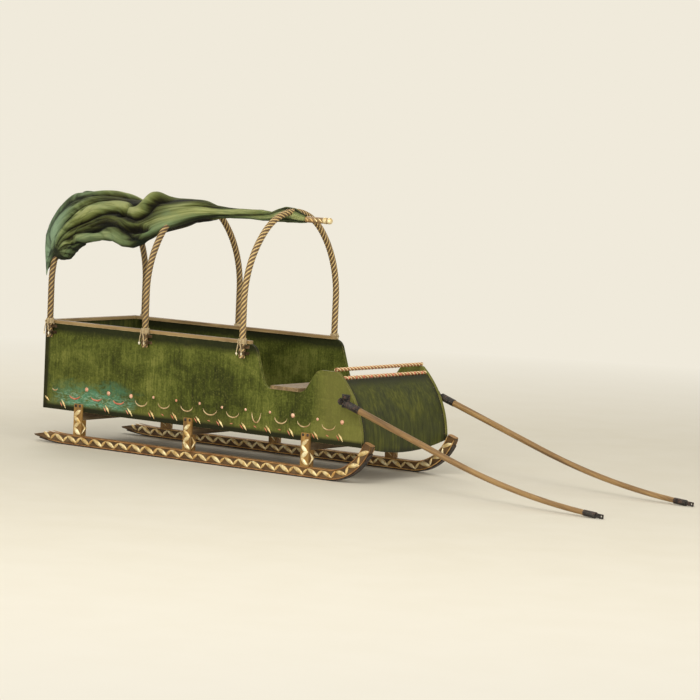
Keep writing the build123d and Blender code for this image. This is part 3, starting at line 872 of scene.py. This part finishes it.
board_low, board_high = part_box("front_board")
board_bend, board_middle, board_nail_y = 0.779, -0.1817, 0.548
board_nails = []
for side in (-1, 1):
    for step in range(7):
        turn = math.radians(4 + 6 * step)
        out_x, out_z = math.cos(turn), math.sin(turn)
        x, z = board_middle + board_bend * out_x, wall_foot + board_bend * out_z
        board_nails.append(((x, side * board_nail_y, z), (out_x, 0, out_z)))
studs("front_nails", board_nails, bolt_iron, radius=0.0055, dome=0.4, washer=1.05)
board_span = (board_high.y, board_low.z, board_high.z)
dress(dark_green_paint("front board paint", board_span), "front_board")


# Rails and bench: bare tan rails cap the walls, rubbed smooth by hands and ropes. The bench is a
# plain plank that spans both walls at the entrance, screwed down at its ends.

rail_tones = ("#6f5836", "#94794c", "#b79c6a", "#cfb988")
rail_look = {"rough": 0.55, "reach": 0.006, "top": "#6a5233"}
rail_wood = timber("rail wood", along_x, *rail_tones, **rail_look)
cross_rail_wood = timber("cross rail wood", along_y, *rail_tones, **rail_look)
bench_wood = timber(
    "bench wood", along_y, "#4c3c24", "#745d3b", "#9a8156", "#b39c6e", rough=0.6, coarse=1.3,
)
dress(rail_wood, "gunwale_left", "gunwale_right")
dress(cross_rail_wood, "rear_rail")
dress(bench_wood, "seat_board")

rail_top, rail_screw_y, first_screw, screw_apart = 1.078, 0.565, -2.86, 0.27
bench_top, bench_screw_y = 0.730, 0.575
screws = []
for side in (-1, 1):
    for step in range(9):
        x = first_screw + screw_apart * step
        screws.append(((x, side * rail_screw_y, rail_top), (0, 0, 1)))
    for x in (-0.33, -0.12):
        screws.append(((x, side * bench_screw_y, bench_top), (0, 0, 1)))
studs("rail_screws", screws, bolt_iron, radius=0.006, dome=0.3, washer=1.05)


# Bows: three ash poles bent to an arch and carved as twisted rope, gilded and brown in turn.
# Two forged staples hold each foot, and hemp cord is lashed round it at the height of the rail.

# The rear and middle bows take darker tones than the front one, as painted shade under the canvas.
bow_finishes = {
    place: strand_finish(place + " bow strands", *tones, leaf=leaf)
    for place, tones, leaf in (
        ("rear", ("#af935b", "#644723", "#4f371e", "#1f1508"), 0.15),
        ("middle", ("#ba9e66", "#6b4f2a", "#563e23", "#23170a"), 0.15),
        ("front", ("#cfb378", "#785930", "#5f4629", "#271a0b"), 0.2),
    )
}
staple_iron = iron("staple iron", "#3a2f1f", "#6a573a", "#7a5532")
bow_x = {place: sum(corner.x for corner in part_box("bow_" + place)) / 2 for place in places}
bow_low, bow_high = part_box("bow_rear")
bow_radius = (bow_high.x - bow_low.x) / 2
bow_y = bow_high.y - bow_radius
bow_foot, bow_spring = bow_low.z, 1.394
shoulder, crown_drop = 0.850, math.sqrt(0.5)
reach = shoulder - bow_y
crown = shoulder - reach / crown_drop
crown_z = bow_spring + reach
shoulder_length = shoulder * math.pi / 4
arch_length = 2 * shoulder_length + crown * math.pi / 2


def over_bow(share, stand_off=0.0):
    """Point over a bow between its two springs, 0 on the near side and 1 on the far side."""
    if share > 0.5:
        y, z = over_bow(1 - share, stand_off)
        return -y, z
    far = share * arch_length
    if far < shoulder_length:
        turn, radius = far / shoulder, shoulder + stand_off
        return reach - radius * math.cos(turn), bow_spring + radius * math.sin(turn)
    turn, radius = math.pi / 4 + (far - shoulder_length) / crown, crown + stand_off
    return -radius * math.cos(turn), crown_z + radius * math.sin(turn)


def bow_line(x):
    leg = [(x, -bow_y, bow_foot + (bow_spring - bow_foot) * step / 8) for step in range(8)]
    arch = [(x, *over_bow(step / 60)) for step in range(61)]
    return leg + arch + [(x, -y, z) for x, y, z in reversed(leg)]


for place in places:
    pole = made(
        "bow_" + place + "_twisted", twists, lines_of(bow_line(bow_x[place])), "bound_wood",
        Radius=bow_radius, Lead=0.165, Groove=0.24, Step=0.008, Strands=8,
        Finish=bow_finishes[place],
    )
    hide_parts("bow_" + place)
dress(staple_iron, "bow_staples_left", "bow_staples_right")

cord_finish = strand_finish("lashing cord", "#d9c69b", "#84683f", "#bda478", "#5f4828", leaf=0.0)
cord_foot, cord_turns, cord_rise = 1.046, 5, 0.0092


def lashing(x, side):
    """Cord wound round the foot of a bow, with a knot and two ends left hanging."""
    radius = bow_radius + 0.004
    middle = side * bow_y
    coil = []
    for step in range(cord_turns * 16 + 1):
        turn = math.tau * step / 16 + 0.6
        y = middle + radius * math.sin(turn)
        coil.append((x + radius * math.cos(turn), y, cord_foot + cord_rise * step / 16))
    outside = middle + side * (radius + 0.004)
    knot = []
    for step in range(22):
        turn = math.tau * step / 21 * 1.5
        y = outside + side * (0.004 + 0.004 * math.sin(2.3 * turn))
        knot.append((x + 0.016 * math.cos(turn), y, cord_foot + 0.022 + 0.012 * math.sin(turn)))
    ends = []
    for way in (-1, 1):
        end = []
        for share in [step / 8 for step in range(9)]:
            along = x + way * (0.004 + 0.022 * share ** 0.7)
            end.append((along, outside + side * 0.006, cord_foot + 0.020 - 0.085 * share))
        ends.append(end)
    return [coil, knot, *ends]


lashings, tassels = [], []
for place in places:
    for side in (-1, 1):
        wound = lashing(bow_x[place], side)
        lashings += wound
        for end in wound[2:]:
            foot = Vector(end[-1])
            tassels.append([foot, foot - Vector((0, 0, 0.012)), foot - Vector((0, 0, 0.030))])
made(
    "foot_lashings", twists, lines_of(*lashings), "rope",
    Radius=0.0052, Lead=0.022, Groove=0.32, Step=0.0045, Strands=3, Finish=cord_finish,
)
tassel_wool = gilding("tassel wool", "#d8c79f", "#f3ead0", "#8d7448", leaf=0.0)
carved("lashing_tassels", tassels, "rope", tassel_wool, thick=0.020)


# Ridge pole: a peeled ash pole under the crowns of the bows, thinner towards the front. Its end
# there is turned and gilded, and a few strokes are carved along both its sides behind that.

def pole_tree():
    """Smooth pole along each line, thicker at its start than at its end, with slight swellings."""
    sizes = {"Butt": "size", "Top": "size", "Step": "size", "Finish": "finish"}
    tree, given = workshop("peeled pole", sizes)
    path = even_path(tree, given["Start"], given["Step"])
    share = out(tree, "GeometryNodeSplineParameter")
    straight = spread(share, 0.0, 1.0, given["Butt"], given["Top"])
    bumps = put(tree, "ShaderNodeTexNoise", {"Scale": 5.0, "Detail": 2.0}).outputs["Fac"]
    radius = times(straight, spread(bumps, 0.3, 0.7, 0.975, 1.0))
    return finish_tree(tree, swept(tree, path, 24, 1.0, radius), given["Finish"])


peeled = pole_tree()
ridge_low, ridge_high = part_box("ridge_pole")
ridge_z = (ridge_low.z + ridge_high.z) / 2
ridge_radius = (ridge_high.z - ridge_low.z) / 2
ridge_wood = timber("ridge wood", along_x, "#5f4728", "#92734a", "#b99b66", "#d2b987", rough=0.5)
ridge_line = [(ridge_low.x + 0.05 * step, 0, ridge_z) for step in range(53)]
ridge = made(
    "ridge_pole_peeled", peeled, lines_of(ridge_line), "pole_wood",
    Butt=ridge_radius, Top=ridge_radius * 0.94, Step=0.03, Finish=ridge_wood,
)
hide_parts("ridge_pole")

end_profile = [
    # distance behind the end, radius
    (0.000, 0.0100),
    (0.003, 0.0190),
    (0.012, 0.0265),
    (0.030, 0.0272),
    (0.036, 0.0225),
    (0.042, 0.0225),
    (0.048, 0.0272),
    (0.075, 0.0272),
    (0.081, 0.0262),
]


def turned(name, start, way, profile, sides):
    """Turned end: a profile of distance and radius, spun round an axis."""
    side = way.orthogonal().normalized()
    points = []
    for far, radius in profile:
        for i in range(sides):
            spoke = Matrix.Rotation(math.tau * i / sides, 3, way) @ side
            points.append(tuple(start + way * far + spoke * radius))
    skins = [tuple(range(sides - 1, -1, -1)), tuple(range(len(points) - sides, len(points)))]
    for k in range(len(profile) - 1):
        for i in range(sides):
            j = (i + 1) % sides
            skins.append((k * sides + i, k * sides + j, (k + 1) * sides + j, (k + 1) * sides + i))
    mesh = bpy.data.meshes.new(name)
    mesh.from_pydata(points, [], skins)
    mesh.polygons.foreach_set("use_smooth", [True] * len(skins))
    mesh.materials.append(gold_leaf)
    piece = stand(name, mesh)
    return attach(piece, "root")


turned("ridge_end", Vector((ridge_high.x, 0, ridge_z)), Vector((-1, 0, 0)), end_profile, 24)
stroke_lines = []
for side in (-1, 1):
    y = side * 0.95 * ridge_radius
    stroke_lines.append([(ridge_high.x - back, y, ridge_z) for back in (0.345, 0.105)])
stroked(
    "ridge_strokes", stroke_lines, pale_gold,
    apart=0.048, length=0.052, width=0.017, depth=0.006, slant=38, seed=21,
)


# Canvas: one green cloth, pushed back along the ridge and bunched over the two rear bows. One
# corner of it hangs outside the rear bow, and thin folds of it follow the ridge to the front.

def canvas_finish():
    """Old waxed canvas: grey green crests and nearly black creases, painted as light and shade."""
    finish, place = start_finish("green canvas")
    tree = finish.node_tree
    cloth = out(tree, "ShaderNodeUVMap", uv_map="cloth")
    fold = put(tree, "ShaderNodeAttribute", attribute_name="fold").outputs["Fac"]
    cloud = specks(place, 5.0, 5.0, 0.62)
    fade = specks(stretched(cloth, 3, 16, 1), 1.0, 4.0, 0.6, 0.5)
    tone = plus(fold, spread(fade, 0.3, 0.7, -0.16, 0.16))
    # The fold value becomes painted light and shade: near black in the creases, pale on the crests.
    colour = shades(
        tone, (0.30, "#110e03"), (0.44, "#28270c"), (0.58, "#4d5126"), (0.74, "#727942"),
        (0.94, "#a2a66b"),
    )
    hem = spread(plus(axis(cloth, "X"), times(cloud, 0.2)), 0.32, 0.12)
    low_edge = spread(plus(axis(cloth, "Y"), times(cloud, 0.3)), 0.62, 0.42)
    cool = maths("MAXIMUM", maths("MAXIMUM", hem, low_edge), spread(cloud, 0.5, 0.7, 0.0, 0.6))
    cool = times(cool, spread(tone, 0.45, 0.75, 0.06, 0.46))
    rear_end = spread(axis(place, "X"), -2.84, -2.91)
    tail = times(rear_end, spread(axis(place, "Z"), 2.10, 1.90))
    tail = times(tail, spread(tone, 0.40, 0.70, 0.25, 0.75))
    stains = spread(specks(cloth, 30.0, 5.0, 0.7), 0.56, 0.7, 0.0, 0.3)
    colour = layered(colour, (cool, "#5f8469"), (tail, "#8aa283"), (stains, "#3f3a22"))
    threads = []
    for way in ("X", "Y"):
        wave = {"Vector": cloth, "Scale": 130.0, "Distortion": 0.6}
        threads.append(put(tree, "ShaderNodeTexWave", wave, bands_direction=way).outputs["Fac"])
    weave = times(plus(*threads), 0.12)
    crumple = specks(stretched(cloth, 7, 15, 1), 1.0, 5.0, 0.6, 0.8)
    return finished(finish, {
        "Base Color": colour,
        "Roughness": spread(cloud, 0.3, 0.7, 0.78, 0.95),
        "Specular IOR Level": 0.1,
        "Sheen Weight": 0.03,
    }, plus(weave, crumple), 0.008, 0.8)


green_canvas = canvas_finish()

shift = -1.1587
cloth_edges = [
    # x, near edge and far edge as shares of the arch
    (-1.820, 0.190, 0.760),
    (-1.800, 0.105, 0.780),
    (-1.775, 0.045, 0.788),
    (-1.755, 0.034, 0.790),
    (-1.738, 0.082, 0.792),
    (-1.716, 0.120, 0.792),
    (-1.690, 0.134, 0.792),
    (-1.640, 0.122, 0.786),
    (-1.560, 0.128, 0.776),
    (-1.515, 0.172, 0.770),
    (-1.440, 0.205, 0.758),
    (-1.250, 0.226, 0.730),
    (-1.120, 0.226, 0.712),
    (-1.000, 0.206, 0.694),
    (-0.880, 0.204, 0.676),
    (-0.780, 0.240, 0.664),
    (-0.640, 0.286, 0.650),
    (-0.560, 0.306, 0.642),
    (-0.470, 0.326, 0.634),
    (-0.380, 0.344, 0.630),
    (-0.240, 0.360, 0.640),
]
cloth_roll = [
    # x, how far it is drawn to the ridge, half width and half height there
    (-1.820, 0.00, 0.130, 0.120),
    (-0.880, 0.00, 0.130, 0.120),
    (-0.780, 0.00, 0.130, 0.110),
    (-0.640, 0.03, 0.120, 0.092),
    (-0.560, 0.26, 0.108, 0.078),
    (-0.470, 0.68, 0.092, 0.064),
    (-0.380, 0.94, 0.078, 0.052),
    (-0.240, 1.00, 0.058, 0.043),
    (0.000, 1.00, 0.048, 0.040),
    (0.130, 1.00, 0.050, 0.044),
    (0.240, 1.00, 0.038, 0.035),
    (0.310, 1.00, 0.048, 0.050),
    (0.400, 1.00, 0.056, 0.060),
    (0.490, 1.00, 0.052, 0.058),
    (0.560, 1.00, 0.038, 0.040),
    (0.615, 1.00, 0.028, 0.028),
]
ridge_rise = [
    # x, how far the roll lies over the ridge pole
    (-1.90, 0.000),
    (-0.60, 0.020),
    (-0.40, 0.004),
    (0.00, 0.006),
    (0.24, 0.004),
    (0.38, 0.030),
    (0.48, 0.028),
    (0.56, 0.008),
    (0.62, 0.000),
]
tail_x, middle_x = -1.738, bow_x["middle"] - shift
bunch_x, bunch_arc = -1.660, 0.270
turn_under = 0.15
# Swellings lift the cloth; those with a negative height are hollows that also darken it as painted
# shade.
swellings = [
    # x, arc length from the near spring, reach along x and along the arch, height
    (-0.900, 0.880, 0.100, 0.120, 0.088),
    (-1.075, 0.860, 0.085, 0.075, -0.085),
    (-1.150, 0.730, 0.050, 0.055, -0.075),
    (-0.860, 0.545, 0.130, 0.038, -0.075),
    (-1.300, 0.640, 0.160, 0.070, 0.018),
    (-1.560, 0.850, 0.130, 0.280, 0.014),
    (-1.060, 0.585, 0.090, 0.070, 0.045),
    (-1.330, 0.500, 0.100, 0.035, -0.030),
    (-1.540, 0.385, 0.060, 0.040, -0.040),
]


def between(rows, x):
    """Row at x, in proportion between the rows on both sides of it."""
    for first, second in zip(rows, rows[1:]):
        if x <= second[0]:
            share = (x - first[0]) / (second[0] - first[0])
            return [a + (b - a) * share for a, b in zip(first, second)]
    return list(rows[-1])


def eased(share):
    share = min(1.0, max(0.0, share))
    return share * share * (3 - 2 * share)


def lobe(phase):
    """Round crest and sharp crease, once in every unit of phase."""
    part = 2 * (phase - math.floor(phase)) - 1
    return math.sqrt(max(0.0, 1 - part * part))


def strength(number, along):
    """Uneven height of one fold, changing slowly along it."""
    return 0.45 + 0.55 * (0.5 + 0.5 * math.sin(number * 2.4 + 3.1 * along))


def roof_fold(x, arc):
    """Folds that curl up and forward from where the cloth is bunched beside the rear bow."""
    ahead, up = x - bunch_x, arc - bunch_arc
    far = math.hypot(ahead, up)
    turn = math.atan2(up, ahead) / (math.pi / 2) + 0.95 * min(far, 0.8)
    warp = noise.noise(Vector((x * 2.6, arc * 2.6, 3.1)))
    phase = 4.2 * turn + 0.6 * warp + 0.25
    finer = 10.0 * turn + 1.2 * noise.noise(Vector((x * 5.0, arc * 5.0, 8.7)))
    fine_share = 0.18 * (1 - 0.75 * eased((far - 0.45) / 0.35))
    broad = (0.92 - fine_share) * lobe(phase) * strength(math.floor(phase), far)
    fold = broad + fine_share * lobe(finer)
    fold = 0.35 + (fold - 0.35) * eased(far / 0.16)
    return fold + 0.08 * (0.5 + 0.5 * noise.noise(Vector((x * 10.0, arc * 10.0, 1.3)))), far


def ridge_fold(x, around):
    """Long folds that wind slowly round the ridge pole."""
    phase = 4.0 * around - 1.1 * x + 0.3 * noise.noise(Vector((x * 3.0, around * 4.0, 5.2)))
    finer = 9.0 * around - 2.0 * x + 0.6 * noise.noise(Vector((x * 6.0, around * 8.0, 6.1)))
    fold = 0.72 * lobe(phase) * strength(math.floor(phase), x) + 0.18 * lobe(finer)
    return fold + 0.10 * (0.5 + 0.5 * noise.noise(Vector((x * 14.0, around * 16.0, 2.2))))


def roof_place(x, near, far, across):
    """Cloth over the bows: an outer skin between two rolled edges that turn under."""
    turned_in = max(0.0, turn_under - across, across - (1 - turn_under)) / turn_under
    outer = min(1.0, max(0.0, (across - turn_under) / (1 - 2 * turn_under)))
    share = near + (far - near) * outer
    tail = eased((-1.730 - x) / 0.02)
    under = eased(turned_in / 0.6) * (1 - tail)
    push = -0.016 * math.sin(math.pi * min(1.0, turned_in / 0.6))
    push += 0.075 * eased((turned_in - 0.3) / 0.7)
    push *= 1 - 0.8 * tail
    share += push if across < 0.5 else -push
    flank = abs(2 * share - 1)
    fold, far_off = roof_fold(x, share * arch_length)
    share -= 0.020 * fold * min(1.0, max(-1.0, (0.5 - share) * 6)) * (1 - under) * (1 - tail)
    thin = eased((x + 0.74) / 0.16)
    swing = (0.026 + 0.082 * eased(far_off / 0.34)) * (1 - 0.65 * tail) * (1 - 0.45 * thin)
    lift = swing * (fold - 0.70) * (1 - 0.6 * under)
    pit_shade = 0.0
    for at, arc, long, wide, height in swellings:
        away = ((x - at) / long) ** 2 + ((share * arch_length - arc) / wide) ** 2
        swell = math.exp(-away if height > 0 else -away * away)
        lift += height * swell * (1 - under)
        pit_shade += min(0.0, height) * swell
    along = min(1.0, max(0.0, (x - tail_x) / (middle_x - tail_x)))
    sag = 0.030 * math.sin(math.pi * along) ** 2 * (1 - flank)
    beside = flank if share < 0.5 else 0.5 * flank
    ahead = eased((x + 0.84 + 0.9 * max(0.0, share - 0.5)) / 0.13)
    lift *= 1 - 0.65 * ahead * (1 - eased((beside - 0.10) / 0.30))
    rise = 0.044 + 0.014 * flank - 0.006 * thin - sag
    low = tail * (1 - eased((share - 0.04) / 0.20))
    rise, lift = rise * (1 - 0.8 * low), lift * (1 - 0.85 * low)
    rise = rise * (1 - under) - 0.085 * under + lift
    pressed = ahead * (1 - under) * (1 - eased((beside - 0.20) / 0.35))
    rise += (bow_radius + 0.012 - rise) * 0.9 * pressed
    for place in ("rear", "middle"):
        on_bow = math.exp(-((x + shift - bow_x[place]) / 0.045) ** 2) * (1 - under)
        rise += max(0.0, bow_radius + 0.007 - rise) * on_bow
    y, z = over_bow(min(0.995, max(0.005, share)), rise)
    # The colour value: the fold height, with painted shade in the hollows and under the turned
    # edges.
    return Vector((y, z)), (fold + 6.0 * pit_shade) * (1 - 0.5 * under)


def ridge_place(x, half_width, half_height, across):
    around = across * 0.985 + 0.0075
    turn = math.tau * (around - 0.5)
    fold = ridge_fold(x, around)
    swing = 0.8 * (min(half_width, half_height) - 0.9 * ridge_radius)
    rise = between(ridge_rise, x)[1]
    side = math.sin(turn) * (half_width + swing * (fold - 0.6))
    up = math.cos(turn) * (half_height + swing * (fold - 0.6))
    return Vector((side, ridge_z + rise + up)), fold


def cloth_point(x, across):
    """Point of the cloth and its fold value for painted shade, from its near edge to its far edge.
    """
    _, near, far = between(cloth_edges, x)
    _, draw, half_width, half_height = between(cloth_roll, x)
    roof, fold = roof_place(x, near, far, across)
    if draw > 0:
        ridge, long_fold = ridge_place(x, half_width, half_height, across)
        roof, fold = roof.lerp(ridge, eased(draw)), fold + (long_fold - fold) * draw
    behind = max(0.0, tail_x - x)
    share = near + (far - near) * across
    bulge = 0.60 + 1.00 * eased((share - 0.10) / 0.28) * (1 - 0.5 * eased((share - 0.5) / 0.3))
    edge = 0.010 * noise.noise(Vector((across * 9.0, 0.4, 7.7))) * eased((-1.60 - x) / 0.2)
    return (x + shift + edge - behind * (bulge - 1), roof.x, roof.y), fold


cloth_runs = [
    # x at its start, length, steps
    (-1.820, 0.320, 56),
    (-1.500, 1.150, 110),
    (-0.350, 0.965, 66),
]
cloth_steps, cloth_width, cloth_rear = 200, 2.1, -1.8


def cloth_sheet():
    """The canvas as one open sheet, with its UV in metres."""
    stations = [
        start + far * step / steps for start, far, steps in cloth_runs for step in range(steps)
    ]
    stations.append(cloth_roll[-1][0])
    points, folds_and_shade = [], []
    for x in stations:
        for j in range(cloth_steps + 1):
            place, fold = cloth_point(x, j / cloth_steps)
            points.append(place)
            folds_and_shade.append(fold)
    row = cloth_steps + 1
    skins = []
    for i in range(len(stations) - 1):
        for j in range(cloth_steps):
            a = i * row + j
            skins.append((a, a + 1, a + 1 + row, a + row))
    mesh = bpy.data.meshes.new("canvas")
    mesh.from_pydata(points, [], skins)
    mesh.polygons.foreach_set("use_smooth", [True] * len(skins))
    # The fold value, with its painted shade, is kept for the canvas colour.
    attribute = mesh.attributes.new("fold", "FLOAT", "POINT")
    attribute.data.foreach_set("value", folds_and_shade)
    cloth = mesh.uv_layers.new(name="cloth")
    for loop in mesh.loops:
        i, j = divmod(loop.vertex_index, row)
        cloth.data[loop.index].uv = (stations[i] - cloth_rear, cloth_width * j / cloth_steps)
    mesh.materials.append(green_canvas)
    return mesh


canvas = stand("canvas_cover", cloth_sheet())
thick = canvas.modifiers.new("cloth thickness", "SOLIDIFY")
thick.thickness, thick.offset = 0.0025, -1.0
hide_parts("tilt_cover")
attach(canvas, "root")


# Shafts: two peeled ash poles that swing on the hitch pins. Each has a forged socket with an eye
# at the butt and a forged tip, and both tips are lowered to the ground.

hitch = Vector((0.4213, 0.650, 0.670))
drop = math.radians(18.18)
straight_end, shaft_arc, arc_turn = 1.160, 6.000, math.radians(13.9)


def shaft_line(side):
    """Middle line of a shaft from its socket to its tip, lowered about the hitch pin."""
    line = [(0.064 + (straight_end - 0.064) * step / 10, 0.0) for step in range(11)]
    for step in range(1, 13):
        turn = arc_turn * step / 12
        line.append((straight_end + shaft_arc * math.sin(turn), shaft_arc * (1 - math.cos(turn))))
    placed = []
    for far, up in line:
        x = hitch.x + far * math.cos(drop) + up * math.sin(drop)
        z = hitch.z - far * math.sin(drop) + up * math.cos(drop)
        placed.append((x, side * hitch.y, z))
    return placed


shaft_wood = timber(
    "shaft wood", (0.0, -drop, 0.0), "#5a4225", "#85653a", "#ab8a56", "#c8ac7a", rough=0.48,
)
forged = iron("forged iron", "#1e1d1c", "#45423f", "#63402a")
rivet_places, socket_face = (0.115, 0.165), 0.0305
for side, word in ((-1, "right"), (1, "left")):
    body = "shaft_" + word
    pole = made(
        "shaft_pole_" + word, peeled, lines_of(shaft_line(side)), "pole_wood", body=body,
        Butt=0.0275, Top=0.0215, Step=0.03, Finish=shaft_wood,
    )
    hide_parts("shaft_" + word)
    rivets = []
    for far in rivet_places:
        x, z = hitch.x + far * math.cos(drop), hitch.z - far * math.sin(drop)
        for way in (-1, 1):
            rivets.append(((x, side * hitch.y + way * socket_face, z), (0, way, 0)))
    studs("shaft_rivets_" + word, rivets, forged, radius=0.007, dome=0.5, washer=1.2, body=body)
    dress(forged, "hitch_plate_" + word, "shaft_iron_" + word, "shaft_tip_" + word)

plate_face, plate_bolt_x, plate_bolt_z = 0.598, 0.027, 0.042
plate_bolts = []
for side in (-1, 1):
    for x in (hitch.x - plate_bolt_x, hitch.x + plate_bolt_x):
        for z in (hitch.z - plate_bolt_z, hitch.z + plate_bolt_z):
            plate_bolts.append(((x, side * plate_face, z), (0, side, 0)))
studs("hitch_bolts", plate_bolts, bolt_iron, radius=0.0075, dome=0.6, washer=1.3)


# Studio: a pale floor that runs into a pale distance, soft daylight from all round, and a camera
# at the photograph's angle, rolled a little so that the front end sits lower.

pale_distance = tint("#f0eadb")


def blended(tree, share, first, second, last):
    """Lays one shader over another and wires them to the last node."""
    blend = put(tree, "ShaderNodeMixShader", {0: share, 1: first.outputs[0], 2: second.outputs[0]})
    tree.links.new(blend.outputs[0], tree.nodes[last].inputs[0])


def pale_ground():
    """Pale floor, lit close by so that it keeps the shadow, and an even pale tone far off."""
    finish, place = start_finish("pale floor")
    tree = finish.node_tree
    flat = {0: stretched(place, 1, 1, 0)}
    far = put(tree, "ShaderNodeVectorMath", flat, operation="LENGTH").outputs["Value"]
    grain = spread(specks(place, 2.0, 4.0), 0.35, 0.65, 0.0, 0.35)
    near = fill(tree, tree.nodes["Principled BSDF"], {
        "Base Color": mixed(grain, "#dbd4c2", "#d5cdb8"),
        "Roughness": 0.95,
        "Specular IOR Level": 0.1,
    })
    haze = put(tree, "ShaderNodeEmission", {"Color": pale_distance, "Strength": 1.0})
    blended(tree, spread(far, 4.5, 13.0), near, haze, "Material Output")
    return finish


floor_half = 160
ground = bpy.data.meshes.new("floor")
corners = [(x * floor_half, y * floor_half, 0) for x, y in ((-1, -1), (1, -1), (1, 1), (-1, 1))]
ground.from_pydata(corners, [], [(0, 1, 2, 3)])
ground.materials.append(pale_ground())
stand("studio_floor", ground)

world = bpy.data.worlds.new("studio")
bpy.context.scene.world = world
world.use_nodes = True
sky = world.node_tree
seen = put(sky, "ShaderNodeLightPath").outputs
shown = maths("MAXIMUM", seen["Is Glossy Ray"], seen["Is Transmission Ray"])
shown = maths("MAXIMUM", seen["Is Camera Ray"], shown)
light = fill(sky, sky.nodes["Background"], {"Color": tint("#fbfaf7"), "Strength": 0.62})
plain = put(sky, "ShaderNodeBackground", {"Color": pale_distance, "Strength": 1.0})
blended(sky, shown, light, plain, "World Output")


def lamp(name, place, aim, size, power):
    """Large soft lamp turned towards its aim."""
    light = bpy.data.lights.new(name, "AREA")
    light.energy, light.size = power, size
    light.color = (1.0, 0.98, 0.95)
    holder = stand(name, light)
    holder.location = place
    holder.rotation_euler = (Vector(aim) - Vector(place)).to_track_quat("-Z", "Y").to_euler()


lamp("key light", (4.2, -10.5, 10.9), (-0.8, 0, 0.8), 6.5, 890)
lamp("low light", (5.5, -20.0, 3.4), (-0.8, 0, 0.3), 5.6, 1250)
lamp("fill light", (12.1, -2.1, 6.0), (-0.5, 0, 0.8), 7.0, 375)
lamp("rear light", (-8.8, 6.3, 8.0), (-0.8, 0, 0.9), 5.6, 350)

azimuth, elevation, distance = math.radians(39.5), math.radians(4.6), 29.2
away = Vector((
    math.sin(azimuth) * math.cos(elevation),
    -math.cos(azimuth) * math.cos(elevation),
    math.sin(elevation),
))
camera = stand("camera", bpy.data.cameras.new("camera"))
camera.data.lens, camera.data.sensor_width = 175.0, 36.0
camera.data.clip_end = 400.0
camera.location = Vector((shift, 0, 1.0)) + away * distance
aim = Vector((-0.02, 0.0, 1.03))
level = (aim - camera.location).to_track_quat("-Z", "Y").to_matrix().to_4x4()
camera.rotation_euler = (level @ Matrix.Rotation(math.radians(2.52), 4, "Z")).to_euler()
bpy.context.scene.camera = camera
bpy.context.scene.view_settings.view_transform = "Standard"
